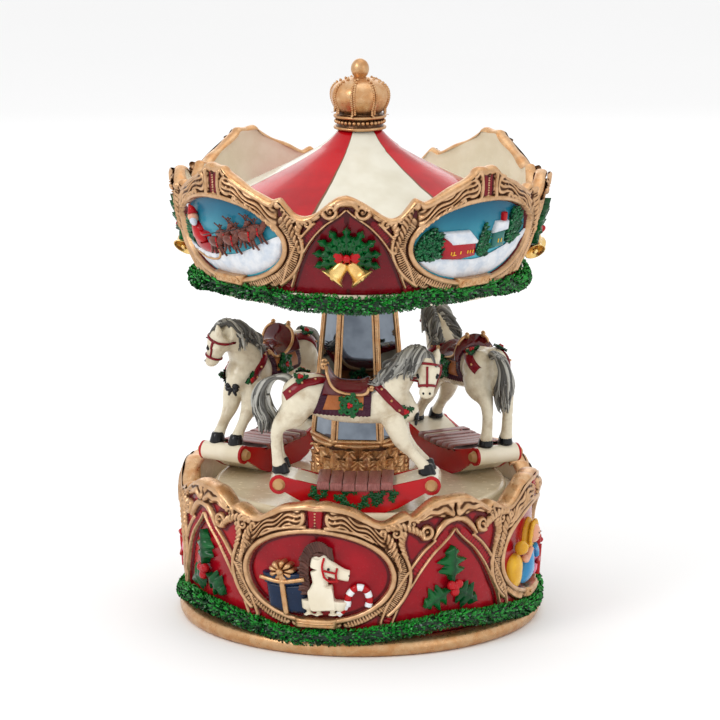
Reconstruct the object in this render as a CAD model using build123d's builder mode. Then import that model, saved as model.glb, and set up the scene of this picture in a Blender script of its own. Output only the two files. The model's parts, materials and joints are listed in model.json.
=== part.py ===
"""Christmas carousel music box: a clockwork base, a turning table with four rocking horses,
a mirrored hexagonal column and a flared canopy with a tent roof and a crown.

Units are millimetres. +Z is up and the origin is the centre of the base's underside.
Azimuths are degrees about Z, counted from -Y (the front) towards +X (the right).
"""

import os
from math import atan2, cos, degrees, pi, radians, sin

from build123d import *

# ---------------------------------------------------------------- driving dimensions
BASE_TURN = 0.0  # azimuth of the first large base panel
CANOPY_TURN = 10.0  # azimuth of the first small canopy panel
COLUMN_TURN = 10.0  # azimuth of one column mirror
HORSE_TURN = 12.0  # azimuth of the first rocking horse
QUARTERS = (0, 90, 180, 270)

# base
PLINTH_RADIUS = 57.0
PLINTH_HEIGHT = 5.2
BASE_WALL = [(53.8, 5.2), (54.3, 12.0), (55.2, 26.0), (55.4, 40.0), (55.2, 52.0)]
BASE_INNER_RADIUS = 50.6
DECK_BOTTOM, DECK_TOP = 35.6, 37.4
BASE_DIP = 41.0  # lowest points of the base's crest
BASE_BIG_HALF, BASE_SMALL_HALF = 23.5, 21.5  # half angles of the two kinds of base crest
BASE_OVAL = (24.6, 22.8, 13.4)  # middle height, half width and half height of the large panels
BASE_OGEE = [
    (19.6, 10.6),
    (17.6, 15.6),
    (14.2, 21.0),
    (11.0, 26.0),
    (7.0, 31.0),
    (3.2, 34.4),
    (1.2, 36.4),
    (0, 38.0),
]
FRAME_WIDTH, FRAME_RISE, PANEL_SINK = 2.0, 1.2, 1.0
GARLAND_TOP = 9.6
COVER_BOTTOM, COVER_THICKNESS, COVER_RADIUS = 0.8, 2.0, 50.2
CUP_RADIUS, CUP_WALL, CUP_FLOOR, CUP_TOP = 15.0, 2.0, 12.0, 13.5
COVER_SCREW_CIRCLE = 44.0

# turntable and column
TABLE_RADIUS, TABLE_BOTTOM, TABLE_TOP = 46.0, 38.2, 42.0
COLLAR_TOP, COLUMN_FOOT, COLUMN_HEAD = 56.0, 54.0, 100.0
HEX_FOOT, HEX_HEAD = 15.4, 11.2  # corner radii of the hexagonal column
MIRROR_MARGIN, MIRROR_DEPTH = 1.0, 1.2
TIE_ROD_RADIUS = 1.5

# canopy
CANOPY_BOTTOM, CEILING = 106.0, 2.5
CANOPY_WALL = [(49.0, 106.0), (50.8, 111.0), (53.8, 120.0), (56.2, 130.0), (57.4, 140.0), (58.0, 150.0)]
CANOPY_THICKNESS = 2.8
CANOPY_OVAL = (125.2, 24.4, 12.2)
CANOPY_OGEE = [
    (17.6, 114.6),
    (15.4, 119.4),
    (12.6, 124.6),
    (9.7, 128.6),
    (6.2, 132.2),
    (2.2, 135.0),
    (0, 137.0),
]
CANOPY_DIP = 133.0
CANOPY_BIG_HALF, CANOPY_SMALL_HALF = 31.0, 14.0
ROOF = [(6.6, 153.0), (12.8, 147.5), (21.0, 142.8), (34.5, 136.2), (46.0, 130.8), (52.0, 128.4)]
ROOF_THICKNESS = 2.2
CROWN_BOTTOM, TOTAL_HEIGHT = 153.0, 175.0

# rocking horses
HORSE_RADIUS = 36.0  # distance of the rocker's middle from the axis
ROCKER_HALF_WIDTH, RAIL_THICKNESS = 7.0, 0.8
BOSS_X, BOSS_Z, ROLL_RADIUS = 23.1, 8.5, 2.9

# movement
BED_BOTTOM, BED_TOP = 13.5, 15.3
BARREL_RADIUS, BARREL_BOTTOM, BARREL_TOP = 13.0, 16.0, 24.0
CROWN_TEETH, CROWN_TOOTH_HEIGHT = 48, 1.1
AXIS_Z = 27.6  # height of the musical cylinder's axis
PINION_TEETH, PINION_MODULE = 12, 0.5
CYLINDER_RADIUS, CYLINDER_START, CYLINDER_END = 6.0, 17.0, 35.4
WHEEL_TEETH, TRAIN_PINION_TEETH, TRAIN_MODULE = 56, 10, 0.25
ARBOR_Y = -7.6
WORM_WHEEL_TEETH, WORM_MODULE, WORM_RADIUS = 20, 0.35, 1.3
WORM_X = 40.6

os.makedirs("parts", exist_ok=True)
TRAIN_DISTANCE = TRAIN_MODULE * (WHEEL_TEETH + TRAIN_PINION_TEETH) / 2
ARBOR_Z = AXIS_Z - (TRAIN_DISTANCE**2 - ARBOR_Y**2) ** 0.5
WORM_WHEEL_RADIUS = WORM_MODULE * WORM_WHEEL_TEETH / 2
WORM_Y = ARBOR_Y - WORM_WHEEL_RADIUS - WORM_RADIUS


# ---------------------------------------------------------------- helpers
def save(shape, name):
    """Labels a finished piece and writes its STEP file."""
    shape.label = name
    export_step(shape, f"parts/{name}.step")


def outward(azimuth):
    """Unit vector pointing away from the axis."""
    return Vector(sin(radians(azimuth)), -cos(radians(azimuth)), 0)


def along(azimuth):
    """Unit vector along the rim, anticlockwise seen from above."""
    return Vector(cos(radians(azimuth)), sin(radians(azimuth)), 0)


def upright(azimuth, distance=0.0):
    """Vertical plane facing away from the axis: x along the rim, y up."""
    return Plane(origin=outward(azimuth) * distance, x_dir=along(azimuth), z_dir=outward(azimuth))


def polar(radius, azimuth):
    """(x, y) of a point at this azimuth."""
    point = outward(azimuth) * radius
    return point.X, point.Y


def between(points, z):
    """Radius of an (r, z) polyline at height z."""
    for (r0, z0), (r1, z1) in zip(points, points[1:]):
        if min(z0, z1) <= z <= max(z0, z1):
            return r0 + (r1 - r0) * (z - z0) / (z1 - z0)
    return points[-1][0]


def revolved(profile):
    """Solid of revolution about Z from a closed (r, z) polygon."""
    with BuildPart() as body:
        with BuildSketch(Plane.XZ):
            with BuildLine():
                Polyline(*profile, close=True)
            make_face()
        revolve(axis=Axis.Z)
    return body.part


def crest_cutter(azimuth, radius, half_angle, crest, start, depth):
    """Solid above one panel's crest, given as (share of the half width, height) pairs from the
    panel's middle to its edge."""
    spread = radius * sin(radians(half_angle))
    right = [(share * spread, z) for share, z in crest]
    left = [(-x, z) for x, z in reversed(right) if x > 0]
    edge = right[-1][1]
    ceiling = 12 + max(z for _, z in crest)
    side = spread + 0.5
    with BuildPart() as cutter:
        with BuildSketch(upright(azimuth, start)):
            with BuildLine():
                Spline(*left, *right)
                Polyline(right[-1], (side, edge), (side, ceiling), (-side, ceiling), (-side, edge), left[0])
            make_face()
        extrude(amount=depth)
    return cutter.part


def wall_band(wall, inner, outer, low, high):
    """Ring that follows a wall's outside between two offsets and two heights."""
    heights = [low] + [z for _, z in wall if low < z < high] + [high]
    inside = [(between(wall, z) + inner, z) for z in heights]
    outside = [(between(wall, z) + outer, z) for z in heights]
    return revolved(inside + outside[::-1])


def oval_prisms(azimuths, oval, start, margin=0.0, rim=0.0):
    """Elliptical prisms pointing outward, as rings of the given rim if there is one."""
    height, half_width, half_height = oval
    with BuildPart() as prisms:
        for azimuth in azimuths:
            with BuildSketch(upright(azimuth, start)):
                with Locations((0, height)):
                    Ellipse(half_width + margin + rim, half_height + margin + rim)
                    if rim:
                        Ellipse(half_width, half_height, mode=Mode.SUBTRACT)
            extrude(amount=24)
    return prisms.part


def ogee_prisms(azimuths, ogee, start, margin=0.0, rim=0.0):
    """Prisms with an ogee outline pointing outward, as rings of the given rim if there is one."""
    with BuildPart() as prisms:
        for azimuth in azimuths:
            with BuildSketch(upright(azimuth, start)):
                with BuildLine():
                    ogee_line(grown(ogee, margin + rim))
                make_face()
                if rim:
                    with BuildLine():
                        ogee_line(grown(ogee, 0))
                    make_face(mode=Mode.SUBTRACT)
            extrude(amount=24)
    return prisms.part


def ogee_line(sides):
    """Closed outline: two curved sides that meet at the point, and a straight foot."""
    right, left = sides
    Spline(*right)
    Spline(*left)
    Line(left[-1], right[0])


def grown(ogee, amount):
    """Both sides of an ogee outline, larger by about this amount all round."""
    low, high = ogee[0][1], ogee[-1][1]
    half_width = max(x for x, _ in ogee)
    middle = (low + high) / 2
    wider = 1 + amount / half_width
    taller = 1 + 2 * amount / (high - low)
    right = [(x * wider, middle + (z - middle) * taller) for x, z in ogee]
    left = [(-x, z) for x, z in right[::-1]]
    return right, left


def slab(outline, near, far, rounding=0.0):
    """Side silhouette given as (x, z) points, thick from y = near to y = far, with rounded edges."""
    with BuildPart() as body:
        with BuildSketch(Plane.XZ.offset(-far)):
            with BuildLine():
                Spline(*outline, periodic=True)
            make_face()
        extrude(amount=far - near)
        if rounding:
            fillet(body.edges().filter_by(GeomType.LINE, reverse=True), rounding)
    return body.part


def gear_points(teeth, module, tip, root, phase=0.0, shares=(0.52, 0.36, 0.18)):
    """Outline of a spur gear with trapezoid teeth. Phase is where one tooth is centred, in degrees,
    and shares are the tooth's widths at the root, pitch and tip as parts of the pitch."""
    pitch_radius = module * teeth / 2
    step = 360 / teeth
    radii = (pitch_radius - root, pitch_radius, pitch_radius + tip)
    points = []
    for n in range(teeth):
        middle = phase + n * step
        sides = [(r, -s * step / 2) for r, s in zip(radii, shares)]
        sides += [(r, s * step / 2) for r, s in zip(reversed(radii), reversed(shares))]
        for r, turn in sides:
            angle = radians(middle + turn)
            points.append((r * cos(angle), r * sin(angle)))
    return points


def shaft_x(radius, start, end, y, z):
    """Round rod parallel to X."""
    return Solid.make_cylinder(radius, end - start, Plane(origin=(start, y, z), z_dir=(1, 0, 0)))


def screw(x, y, seat, head_radius, head_height, shank_radius, length, up=True):
    """Slotted pan-head screw: its head stands on the seat height, its shank runs the other way."""
    way = 1 if up else -1
    with BuildPart() as body:
        with BuildSketch(Plane((x, y, seat), z_dir=(0, 0, way))):
            Circle(head_radius)
        extrude(amount=head_height)
        with BuildSketch(Plane((x, y, seat), z_dir=(0, 0, -way))):
            Circle(shank_radius)
        extrude(amount=length)
        with BuildSketch(Plane((x, y, seat + way * head_height), z_dir=(0, 0, -way))):
            Rectangle(2 * head_radius, 0.25 * head_radius)
        extrude(amount=0.4 * head_height, mode=Mode.SUBTRACT)
    return body.part


# ---------------------------------------------------------------- base shell
BIG_PANELS = [BASE_TURN + quarter for quarter in QUARTERS]
SMALL_PANELS = [azimuth + 45 for azimuth in BIG_PANELS]
BASE_BIG_CREST = [(0, 46.6), (0.25, 46.8), (0.55, 45.0), (0.84, 42.2), (1, BASE_DIP)]
BASE_SMALL_CREST = [(0, 47.2), (0.25, 46.4), (0.55, 43.6), (0.84, 41.8), (1, BASE_DIP)]

base_crests = [crest_cutter(azimuth, 55.5, BASE_BIG_HALF, BASE_BIG_CREST, 44, 16) for azimuth in BIG_PANELS]
base_crests += [crest_cutter(azimuth, 55.5, BASE_SMALL_HALF, BASE_SMALL_CREST, 44, 16) for azimuth in SMALL_PANELS]
base_sinks = wall_band(BASE_WALL, -PANEL_SINK, 6, GARLAND_TOP + 0.2, 40)
base_oval_sinks = base_sinks & oval_prisms(BIG_PANELS, BASE_OVAL, 40)
base_ogee_sinks = base_sinks & ogee_prisms(SMALL_PANELS, BASE_OGEE, 44)
base_frame_band = wall_band(BASE_WALL, -0.6, FRAME_RISE, GARLAND_TOP + 0.1, 46)
base_oval_frames = base_frame_band & oval_prisms(BIG_PANELS, BASE_OVAL, 40, rim=FRAME_WIDTH)
base_ogee_frames = base_frame_band & ogee_prisms(SMALL_PANELS, BASE_OGEE, 44, rim=FRAME_WIDTH)

with BuildPart() as base_shell:
    with BuildSketch(Plane.XZ):
        with BuildLine():
            Polyline(
                (COVER_RADIUS + 0.3, 0),
                (PLINTH_RADIUS - 1.2, 0),
                (PLINTH_RADIUS, 1.4),
                (PLINTH_RADIUS, 3.4),
                (PLINTH_RADIUS - 1.4, PLINTH_HEIGHT),
                *BASE_WALL,
                (BASE_INNER_RADIUS, BASE_WALL[-1][1]),
                (BASE_INNER_RADIUS, DECK_TOP),
                (3.0, DECK_TOP),
                (3.0, DECK_BOTTOM),
                (BASE_INNER_RADIUS, DECK_BOTTOM),
                (BASE_INNER_RADIUS, COVER_BOTTOM + COVER_THICKNESS),
                (COVER_RADIUS + 0.3, COVER_BOTTOM + COVER_THICKNESS),
                close=True,
            )
        make_face()
    revolve(axis=Axis.Z)
    add(base_crests, mode=Mode.SUBTRACT)
    add([base_oval_frames, base_ogee_frames])
    add([base_oval_sinks, base_ogee_sinks], mode=Mode.SUBTRACT)
    with BuildSketch(Plane.XY.offset(COVER_BOTTOM + COVER_THICKNESS)):
        with PolarLocations(COVER_SCREW_CIRCLE, 4, start_angle=45):
            Circle(3.2)
            Circle(1.3, mode=Mode.SUBTRACT)
    extrude(amount=DECK_BOTTOM + 0.2 - COVER_BOTTOM - COVER_THICKNESS)
save(base_shell.part, "base_shell")

# garland of greenery glued round the base wall
BASE_GARLAND = [(between(BASE_WALL, z) + 0.05, z) for z in (5.6, GARLAND_TOP)]
BASE_GARLAND += [(57.0, 9.4), (58.0, 8.4), (58.2, 6.8), (57.4, 5.4), (55.7, 5.3)]
save(revolved(BASE_GARLAND), "base_garland")

# toy pictures and holly sprays, cast apart and glued into the sunk panels
relief_band = wall_band(BASE_WALL, -PANEL_SINK, 0.8, GARLAND_TOP + 0.3, 40)
oval = oval_prisms(BIG_PANELS, BASE_OVAL, 40, margin=-0.05)
ogee = ogee_prisms(SMALL_PANELS, BASE_OGEE, 44, margin=-0.05)
save(relief_band & oval, "toy_reliefs")
save(relief_band & ogee, "holly_reliefs")

# ---------------------------------------------------------------- bottom cover
POSTS = [(30.0, -14.6), (-4.0, 22.6), (-14.2, -14.2)]
with BuildPart() as bottom_cover:
    with BuildSketch(Plane.XY.offset(COVER_BOTTOM)):
        Circle(COVER_RADIUS)
        Circle(CUP_RADIUS, mode=Mode.SUBTRACT)
        with PolarLocations(COVER_SCREW_CIRCLE, 4, start_angle=45):
            Circle(1.6, mode=Mode.SUBTRACT)
    extrude(amount=COVER_THICKNESS)
    with BuildSketch(Plane.XY.offset(COVER_BOTTOM)):
        Circle(CUP_RADIUS + CUP_WALL)
        Circle(CUP_RADIUS, mode=Mode.SUBTRACT)
    extrude(amount=CUP_TOP - COVER_BOTTOM)
    with BuildSketch(Plane.XY.offset(CUP_FLOOR)):
        Circle(CUP_RADIUS + CUP_WALL)
        Circle(2.4, mode=Mode.SUBTRACT)
    extrude(amount=CUP_TOP - CUP_FLOOR)
    with BuildSketch(Plane.XY.offset(COVER_BOTTOM + COVER_THICKNESS)):
        with Locations(*POSTS):
            Circle(2.5)
    extrude(amount=BED_BOTTOM - COVER_BOTTOM - COVER_THICKNESS)
    with BuildSketch(Plane.XY.offset(BED_BOTTOM)):
        with Locations(*POSTS):
            Circle(1.05)
    extrude(amount=-8, mode=Mode.SUBTRACT)
save(bottom_cover.part, "bottom_cover")

cover_screws = Compound(
    children=[
        screw(*polar(COVER_SCREW_CIRCLE, 45 + 90 * n), COVER_BOTTOM, 2.4, 0.7, 1.2, 9, up=False) for n in range(4)
    ]
)
save(cover_screws, "cover_screws")

# ---------------------------------------------------------------- musical movement, fixed parts
with BuildPart() as movement_bedplate:
    with BuildSketch(Plane.XY.offset(BED_BOTTOM)):
        with BuildLine():
            Polyline((-17, -18), (44, -18), (44, 10), (38, 27), (-10, 27), (-17, 17), close=True)
        make_face()
        fillet(vertices(), 2)
        Circle(1.85, mode=Mode.SUBTRACT)
        with Locations(*POSTS):
            Circle(1.15, mode=Mode.SUBTRACT)
    extrude(amount=BED_TOP - BED_BOTTOM)
    with BuildSketch(Plane.XY.offset(BED_TOP)):
        with Locations((26.2, 20.5)):
            Rectangle(18.8, 7)
    extrude(amount=AXIS_Z - 0.5 - BED_TOP)
    with BuildSketch(Plane.XY.offset(AXIS_Z - 0.5)):
        with Locations((21, 20.5), (31.4, 20.5)):
            Circle(0.92)
    extrude(amount=-5, mode=Mode.SUBTRACT)
save(movement_bedplate.part, "movement_bedplate")

bed_screws = Compound(children=[screw(x, y, BED_TOP, 2.0, 1.2, 1.0, 7) for x, y in POSTS])
save(bed_screws, "bed_screws")


def bearing_bracket(start, thickness, foot_to):
    """Upright plate with a foot that carries one end of the musical cylinder."""
    with BuildPart() as bracket:
        with BuildSketch(Plane.YZ.offset(start)):
            with Locations((0, (BED_TOP + AXIS_Z) / 2 + 1.2)):
                Rectangle(7, AXIS_Z - BED_TOP + 2.4)
            with Locations((0, AXIS_Z)):
                Circle(0.95, mode=Mode.SUBTRACT)
        extrude(amount=thickness)
        with BuildSketch(Plane.XY.offset(BED_TOP)):
            with Locations(((start + foot_to) / 2, 0)):
                Rectangle(abs(foot_to - start), 7)
        extrude(amount=1.0)
    return bracket.part


save(bearing_bracket(14.2, 1.4, 19.0), "near_bearing_bracket")
save(bearing_bracket(37.9, 1.2, 35.0), "far_bearing_bracket")

COMB_TIPS, COMB_TEETH = 6.8, 18
comb_pitch = (CYLINDER_END - CYLINDER_START - 0.6) / COMB_TEETH
with BuildPart() as music_comb:
    with BuildSketch(Plane.XY.offset(AXIS_Z - 0.5)):
        with Locations((26.2, 20.5)):
            Rectangle(18.8, 7)
        for n in range(COMB_TEETH):
            middle = CYLINDER_START + 0.3 + comb_pitch * (n + 0.5)
            with Locations((middle, (COMB_TIPS + 17.2) / 2)):
                Rectangle(0.65 * comb_pitch, 17.2 - COMB_TIPS)
        with Locations((21, 20.5), (31.4, 20.5)):
            Circle(1.0, mode=Mode.SUBTRACT)
    extrude(amount=1.0)
save(music_comb.part, "music_comb")
comb_screws = Compound(children=[screw(x, 20.5, AXIS_Z + 0.5, 1.7, 1.0, 0.85, 5) for x in (21, 31.4)])
save(comb_screws, "comb_screws")

FLY_TOP, FRAME_TOP = 33.2, 34.7
with BuildPart() as governor_frame:
    with BuildSketch(Plane.XY.offset(BED_TOP)):
        with Locations((40.7, -11.2)):
            Rectangle(5.4, 12.2)
    extrude(amount=2.0)
    for start in (38.0, 42.4):
        with BuildSketch(Plane.YZ.offset(start)):
            with Locations((ARBOR_Y, (BED_TOP + 26.6) / 2)):
                Rectangle(3.6, 26.6 - BED_TOP)
            with Locations((ARBOR_Y, ARBOR_Z)):
                Circle(0.56, mode=Mode.SUBTRACT)
        extrude(amount=1.0)
    with BuildSketch(Plane.XY.offset(BED_TOP)):
        with Locations((WORM_X, -16.8)):
            Rectangle(3.0, 1.0)
    extrude(amount=FRAME_TOP - BED_TOP)
    with BuildSketch(Plane.XY.offset(FLY_TOP + 0.5)):
        with Locations((WORM_X, -14.0)):
            Rectangle(2.2, 6.0)
    extrude(amount=FRAME_TOP - FLY_TOP - 0.5)
    with Locations((WORM_X, WORM_Y, BED_TOP)):
        Cylinder(0.56, FRAME_TOP - BED_TOP + 1, align=(Align.CENTER, Align.CENTER, Align.MIN), mode=Mode.SUBTRACT)
save(governor_frame.part, "governor_frame")

with BuildPart() as spindle_bush:
    with BuildSketch(Plane.XY.offset(DECK_TOP)):
        Circle(7.0)
    extrude(amount=TABLE_BOTTOM - DECK_TOP - 0.05)
    with BuildSketch(Plane.XY.offset(DECK_BOTTOM)):
        Circle(2.95)
    extrude(amount=DECK_TOP - DECK_BOTTOM)
    with Locations((0, 0, DECK_TOP)):
        Cylinder(2.05, 10, mode=Mode.SUBTRACT)
save(spindle_bush.part, "spindle_bush")

# ---------------------------------------------------------------- winding key and its arbor
with BuildPart() as winding_key:
    with BuildSketch(Plane.XZ.offset(-1.1)):
        with Locations((-6.2, 5.6), (6.2, 5.6)):
            Ellipse(4.4, 3.4)
        with Locations((0, 6.2)):
            Rectangle(8, 3.2)
        with Locations((-6.6, 5.6), (6.6, 5.6)):
            Ellipse(1.8, 1.4, mode=Mode.SUBTRACT)
    extrude(amount=2.2)
    with Locations((0, 0, 4.0)):
        Cylinder(2.7, 7.2, align=(Align.CENTER, Align.CENTER, Align.MIN))
    with Locations((0, 0, 6.5)):
        Cylinder(1.5, 6, align=(Align.CENTER, Align.CENTER, Align.MIN), mode=Mode.SUBTRACT)
save(winding_key.part, "winding_key")
with BuildPart() as winding_arbor:
    for radius, low, high in ((1.45, 6.7, 11.4), (1.8, 11.4, 17.4), (3.0, 17.4, 22.2), (1.2, 22.2, 22.6)):
        with Locations((0, 0, low)):
            Cylinder(radius, high - low, align=(Align.CENTER, Align.CENTER, Align.MIN))
save(winding_arbor.part, "winding_arbor")

# ---------------------------------------------------------------- barrel, turning with the table
with BuildPart() as spring_barrel:
    with Locations((0, 0, BARREL_BOTTOM)):
        Cylinder(BARREL_RADIUS, BARREL_TOP - BARREL_BOTTOM, align=(Align.CENTER, Align.CENTER, Align.MIN))
        Cylinder(11.6, 6.8, align=(Align.CENTER, Align.CENTER, Align.MIN), mode=Mode.SUBTRACT)
    with BuildSketch(Plane.XY.offset(BARREL_TOP)):
        with PolarLocations(12.0, CROWN_TEETH):
            Rectangle(1.9, 0.52)
    extrude(amount=CROWN_TOOTH_HEIGHT)
    with Locations((0, 0, BARREL_TOP)):
        Cylinder(2.0, 3, mode=Mode.SUBTRACT)
save(spring_barrel.part, "spring_barrel")
with BuildPart() as barrel_lid:
    with Locations((0, 0, BARREL_BOTTOM)):
        Cylinder(11.55, 0.8, align=(Align.CENTER, Align.CENTER, Align.MIN))
        Cylinder(1.9, 0.8, align=(Align.CENTER, Align.CENTER, Align.MIN), mode=Mode.SUBTRACT)
save(barrel_lid.part, "barrel_lid")

SPRING_TURNS, SPRING_STRIP, STEPS_PER_TURN = 8, 0.3, 16
spiral = []
for n in range(SPRING_TURNS * STEPS_PER_TURN + 1):
    turn = n / STEPS_PER_TURN
    spiral.append((3.6 + (11.2 - 3.6) * turn / SPRING_TURNS, 2 * pi * turn))
inner_edge = [(r * cos(a), r * sin(a)) for r, a in spiral]
outer_edge = [((r + SPRING_STRIP) * cos(a), (r + SPRING_STRIP) * sin(a)) for r, a in reversed(spiral)]
with BuildPart() as mainspring:
    with BuildSketch(Plane.XY.offset(17.2)):
        with BuildLine():
            Polyline(*inner_edge, *outer_edge, close=True)
        make_face()
    extrude(amount=5.2)
save(mainspring.part, "mainspring")

with BuildPart() as drive_spindle:
    for radius, low, high in ((1.95, 22.9, 24.0), (4.5, 24.0, 25.2), (2.0, 25.2, 40.6)):
        with Locations((0, 0, low)):
            Cylinder(radius, high - low, align=(Align.CENTER, Align.CENTER, Align.MIN))
save(drive_spindle.part, "drive_spindle")

# ---------------------------------------------------------------- musical cylinder
PIN_ROWS = 3
with BuildPart() as music_cylinder:
    add(shaft_x(CYLINDER_RADIUS, CYLINDER_START, CYLINDER_END, 0, AXIS_Z))
    for n in range(COMB_TEETH):
        x = CYLINDER_START + 0.3 + comb_pitch * (n + 0.5)
        for row in range(PIN_ROWS):
            turn = radians(120 * row + 47 * n)
            stand = Plane(origin=(x, 0, AXIS_Z), z_dir=(0, cos(turn), sin(turn))).offset(5.6)
            add(Solid.make_cylinder(0.18, 1.0, stand))
save(music_cylinder.part, "music_cylinder")
with BuildPart() as cylinder_pinion:
    with BuildSketch(Plane.YZ.offset(11.3)):
        with BuildLine():
            teeth = gear_points(PINION_TEETH, PINION_MODULE, 0.42, 0.6, phase=-90 + 180 / PINION_TEETH)
            Polyline(*teeth, close=True)
        make_face()
        Circle(0.9, mode=Mode.SUBTRACT)
    extrude(amount=1.4)
save(Pos(0, 0, AXIS_Z) * cylinder_pinion.part, "cylinder_pinion")
save(Part(shaft_x(0.9, 10.9, 17.0, 0, AXIS_Z).wrapped), "cylinder_pivot")

train_angle = degrees(atan2(ARBOR_Z - AXIS_Z, ARBOR_Y))
with BuildPart() as great_wheel:
    with BuildSketch(Plane.YZ.offset(36.0)):
        with BuildLine():
            Polyline(*gear_points(WHEEL_TEETH, TRAIN_MODULE, 0.21, 0.3, phase=train_angle), close=True)
        make_face()
    extrude(amount=1.2)
    add(Pos(0, 0, -AXIS_Z) * shaft_x(0.9, 35.4, 39.6, 0, AXIS_Z))
save(Pos(0, 0, AXIS_Z) * great_wheel.part, "great_wheel")

# ---------------------------------------------------------------- governor
with BuildPart() as governor_arbor:
    with BuildSketch(Plane.YZ.offset(36.0)):
        with BuildLine():
            phase = train_angle + 180 + 180 / TRAIN_PINION_TEETH
            Polyline(*gear_points(TRAIN_PINION_TEETH, TRAIN_MODULE, 0.21, 0.3, phase=phase), close=True)
        make_face()
    extrude(amount=1.2)
    add(shaft_x(0.5, 35.9, 43.8, 0, 0))
    with BuildSketch(Plane.YZ.offset(WORM_X - 0.6)):
        with BuildLine():
            Polyline(*gear_points(WORM_WHEEL_TEETH, WORM_MODULE, 0.26, 0.4, phase=180), close=True)
        make_face()
    extrude(amount=1.2)
save(Pos(0, ARBOR_Y, ARBOR_Z) * governor_arbor.part, "governor_arbor")

WORM_PITCH = pi * WORM_MODULE
with BuildPart() as governor_worm:
    with Locations((0, 0, -7.2)):
        Cylinder(0.5, 17.2, align=(Align.CENTER, Align.CENTER, Align.MIN))
    with Locations((0, 0, -2.2)):
        Cylinder(0.9, 4.4, align=(Align.CENTER, Align.CENTER, Align.MIN))
    with BuildLine(mode=Mode.PRIVATE) as thread_path:
        Helix(WORM_PITCH, 3 * WORM_PITCH, 1.15, center=(0, 0, -1.5 * WORM_PITCH))
    with BuildSketch(Plane(origin=thread_path.line @ 0, z_dir=thread_path.line % 0, x_dir=(1, 0, 0))):
        Trapezoid(0.42, 0.62, 76, rotation=-90)
    sweep(path=thread_path.line, is_frenet=True)
WORM_PHASE = 90.0  # leaves a gap between threads where the wheel's tooth stands
save(Pos(WORM_X, WORM_Y, ARBOR_Z) * Rot(0, 0, WORM_PHASE) * governor_worm.part, "governor_worm")
with BuildPart() as air_brake:
    with BuildSketch(Plane.XY.offset(28.2)):
        with Locations((WORM_X, WORM_Y)):
            Circle(1.1)
            Rectangle(6.6, 0.5)
            Circle(0.5, mode=Mode.SUBTRACT)
    extrude(amount=FLY_TOP - 28.2)
save(air_brake.part, "air_brake")

# ---------------------------------------------------------------- turntable and column
with BuildPart() as turntable:
    with Locations((0, 0, TABLE_BOTTOM)):
        Cylinder(TABLE_RADIUS, TABLE_TOP - TABLE_BOTTOM, align=(Align.CENTER, Align.CENTER, Align.MIN))
    fillet(turntable.edges().sort_by(Axis.Z)[-1], 1.6)
    with Locations((0, 0, TABLE_BOTTOM)):
        Cylinder(2.0, 5.2, mode=Mode.SUBTRACT)
    with Locations((0, 0, TABLE_TOP)):
        Cylinder(TIE_ROD_RADIUS + 0.02, 1.6, mode=Mode.SUBTRACT)
save(turntable.part, "turntable")

collar_profile = [
    (12.6, TABLE_TOP),
    (15.0, TABLE_TOP),
    (15.2, 44.0),
    (16.6, 50.0),
    (17.8, 54.6),
    (17.0, COLLAR_TOP),
    (16.0, COLLAR_TOP),
    (15.6, COLUMN_FOOT),
    (12.6, COLUMN_FOOT),
]
save(revolved(collar_profile), "acanthus_collar")

HEX_SLOPE = (HEX_FOOT - HEX_HEAD) * cos(radians(30)) / (COLUMN_HEAD - COLUMN_FOOT)
MIRROR_MIDDLE = (COLUMN_FOOT + COLUMN_HEAD) / 2
MIRROR_HALF_HEIGHT = 21.0


def mirror_plane(azimuth, sink):
    """Plane of one column face, sunk by this much."""
    distance = (HEX_FOOT + HEX_HEAD) / 2 * cos(radians(30))
    normal = (outward(azimuth) + Vector(0, 0, HEX_SLOPE)).normalized()
    origin = outward(azimuth) * distance + Vector(0, 0, MIRROR_MIDDLE) - normal * sink
    return Plane(origin=origin, x_dir=along(azimuth), z_dir=normal)


def mirror_outline(shrink):
    """Corners of one mirror pocket, a little narrower at the top."""
    foot = HEX_FOOT / 2 - MIRROR_MARGIN - shrink
    head = HEX_HEAD / 2 - MIRROR_MARGIN - shrink
    tall = MIRROR_HALF_HEIGHT - shrink
    return [(-foot, -tall), (foot, -tall), (head, tall), (-head, tall)]


SIXTHS = [COLUMN_TURN + 60 * n for n in range(6)]
with BuildPart() as column_casting:
    with BuildSketch(Plane.XY.offset(COLUMN_FOOT)):
        RegularPolygon(HEX_FOOT, 6, rotation=COLUMN_TURN)
    with BuildSketch(Plane.XY.offset(COLUMN_HEAD)):
        RegularPolygon(HEX_HEAD, 6, rotation=COLUMN_TURN)
    loft()
    with Locations((0, 0, TABLE_TOP)):
        Cylinder(12.5, COLUMN_FOOT - TABLE_TOP, align=(Align.CENTER, Align.CENTER, Align.MIN))
    with Locations((0, 0, COLUMN_HEAD)):
        Cylinder(8.0, CANOPY_BOTTOM - COLUMN_HEAD, align=(Align.CENTER, Align.CENTER, Align.MIN))
    for azimuth in SIXTHS:
        with BuildSketch(mirror_plane(azimuth, MIRROR_DEPTH)):
            with BuildLine():
                Polyline(*mirror_outline(0), close=True)
            make_face()
        extrude(amount=MIRROR_DEPTH + 2, mode=Mode.SUBTRACT)
    with Locations((0, 0, TABLE_TOP)):
        Cylinder(TIE_ROD_RADIUS + 0.1, 70, align=(Align.CENTER, Align.CENTER, Align.MIN), mode=Mode.SUBTRACT)
save(column_casting.part, "column_casting")

with BuildPart() as column_mirrors:
    for azimuth in SIXTHS:
        with BuildSketch(mirror_plane(azimuth, MIRROR_DEPTH - 0.02)):
            with BuildLine():
                Polyline(*mirror_outline(0.05), close=True)
            make_face()
        extrude(amount=0.8)
save(column_mirrors.part, "column_mirrors")

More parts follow.
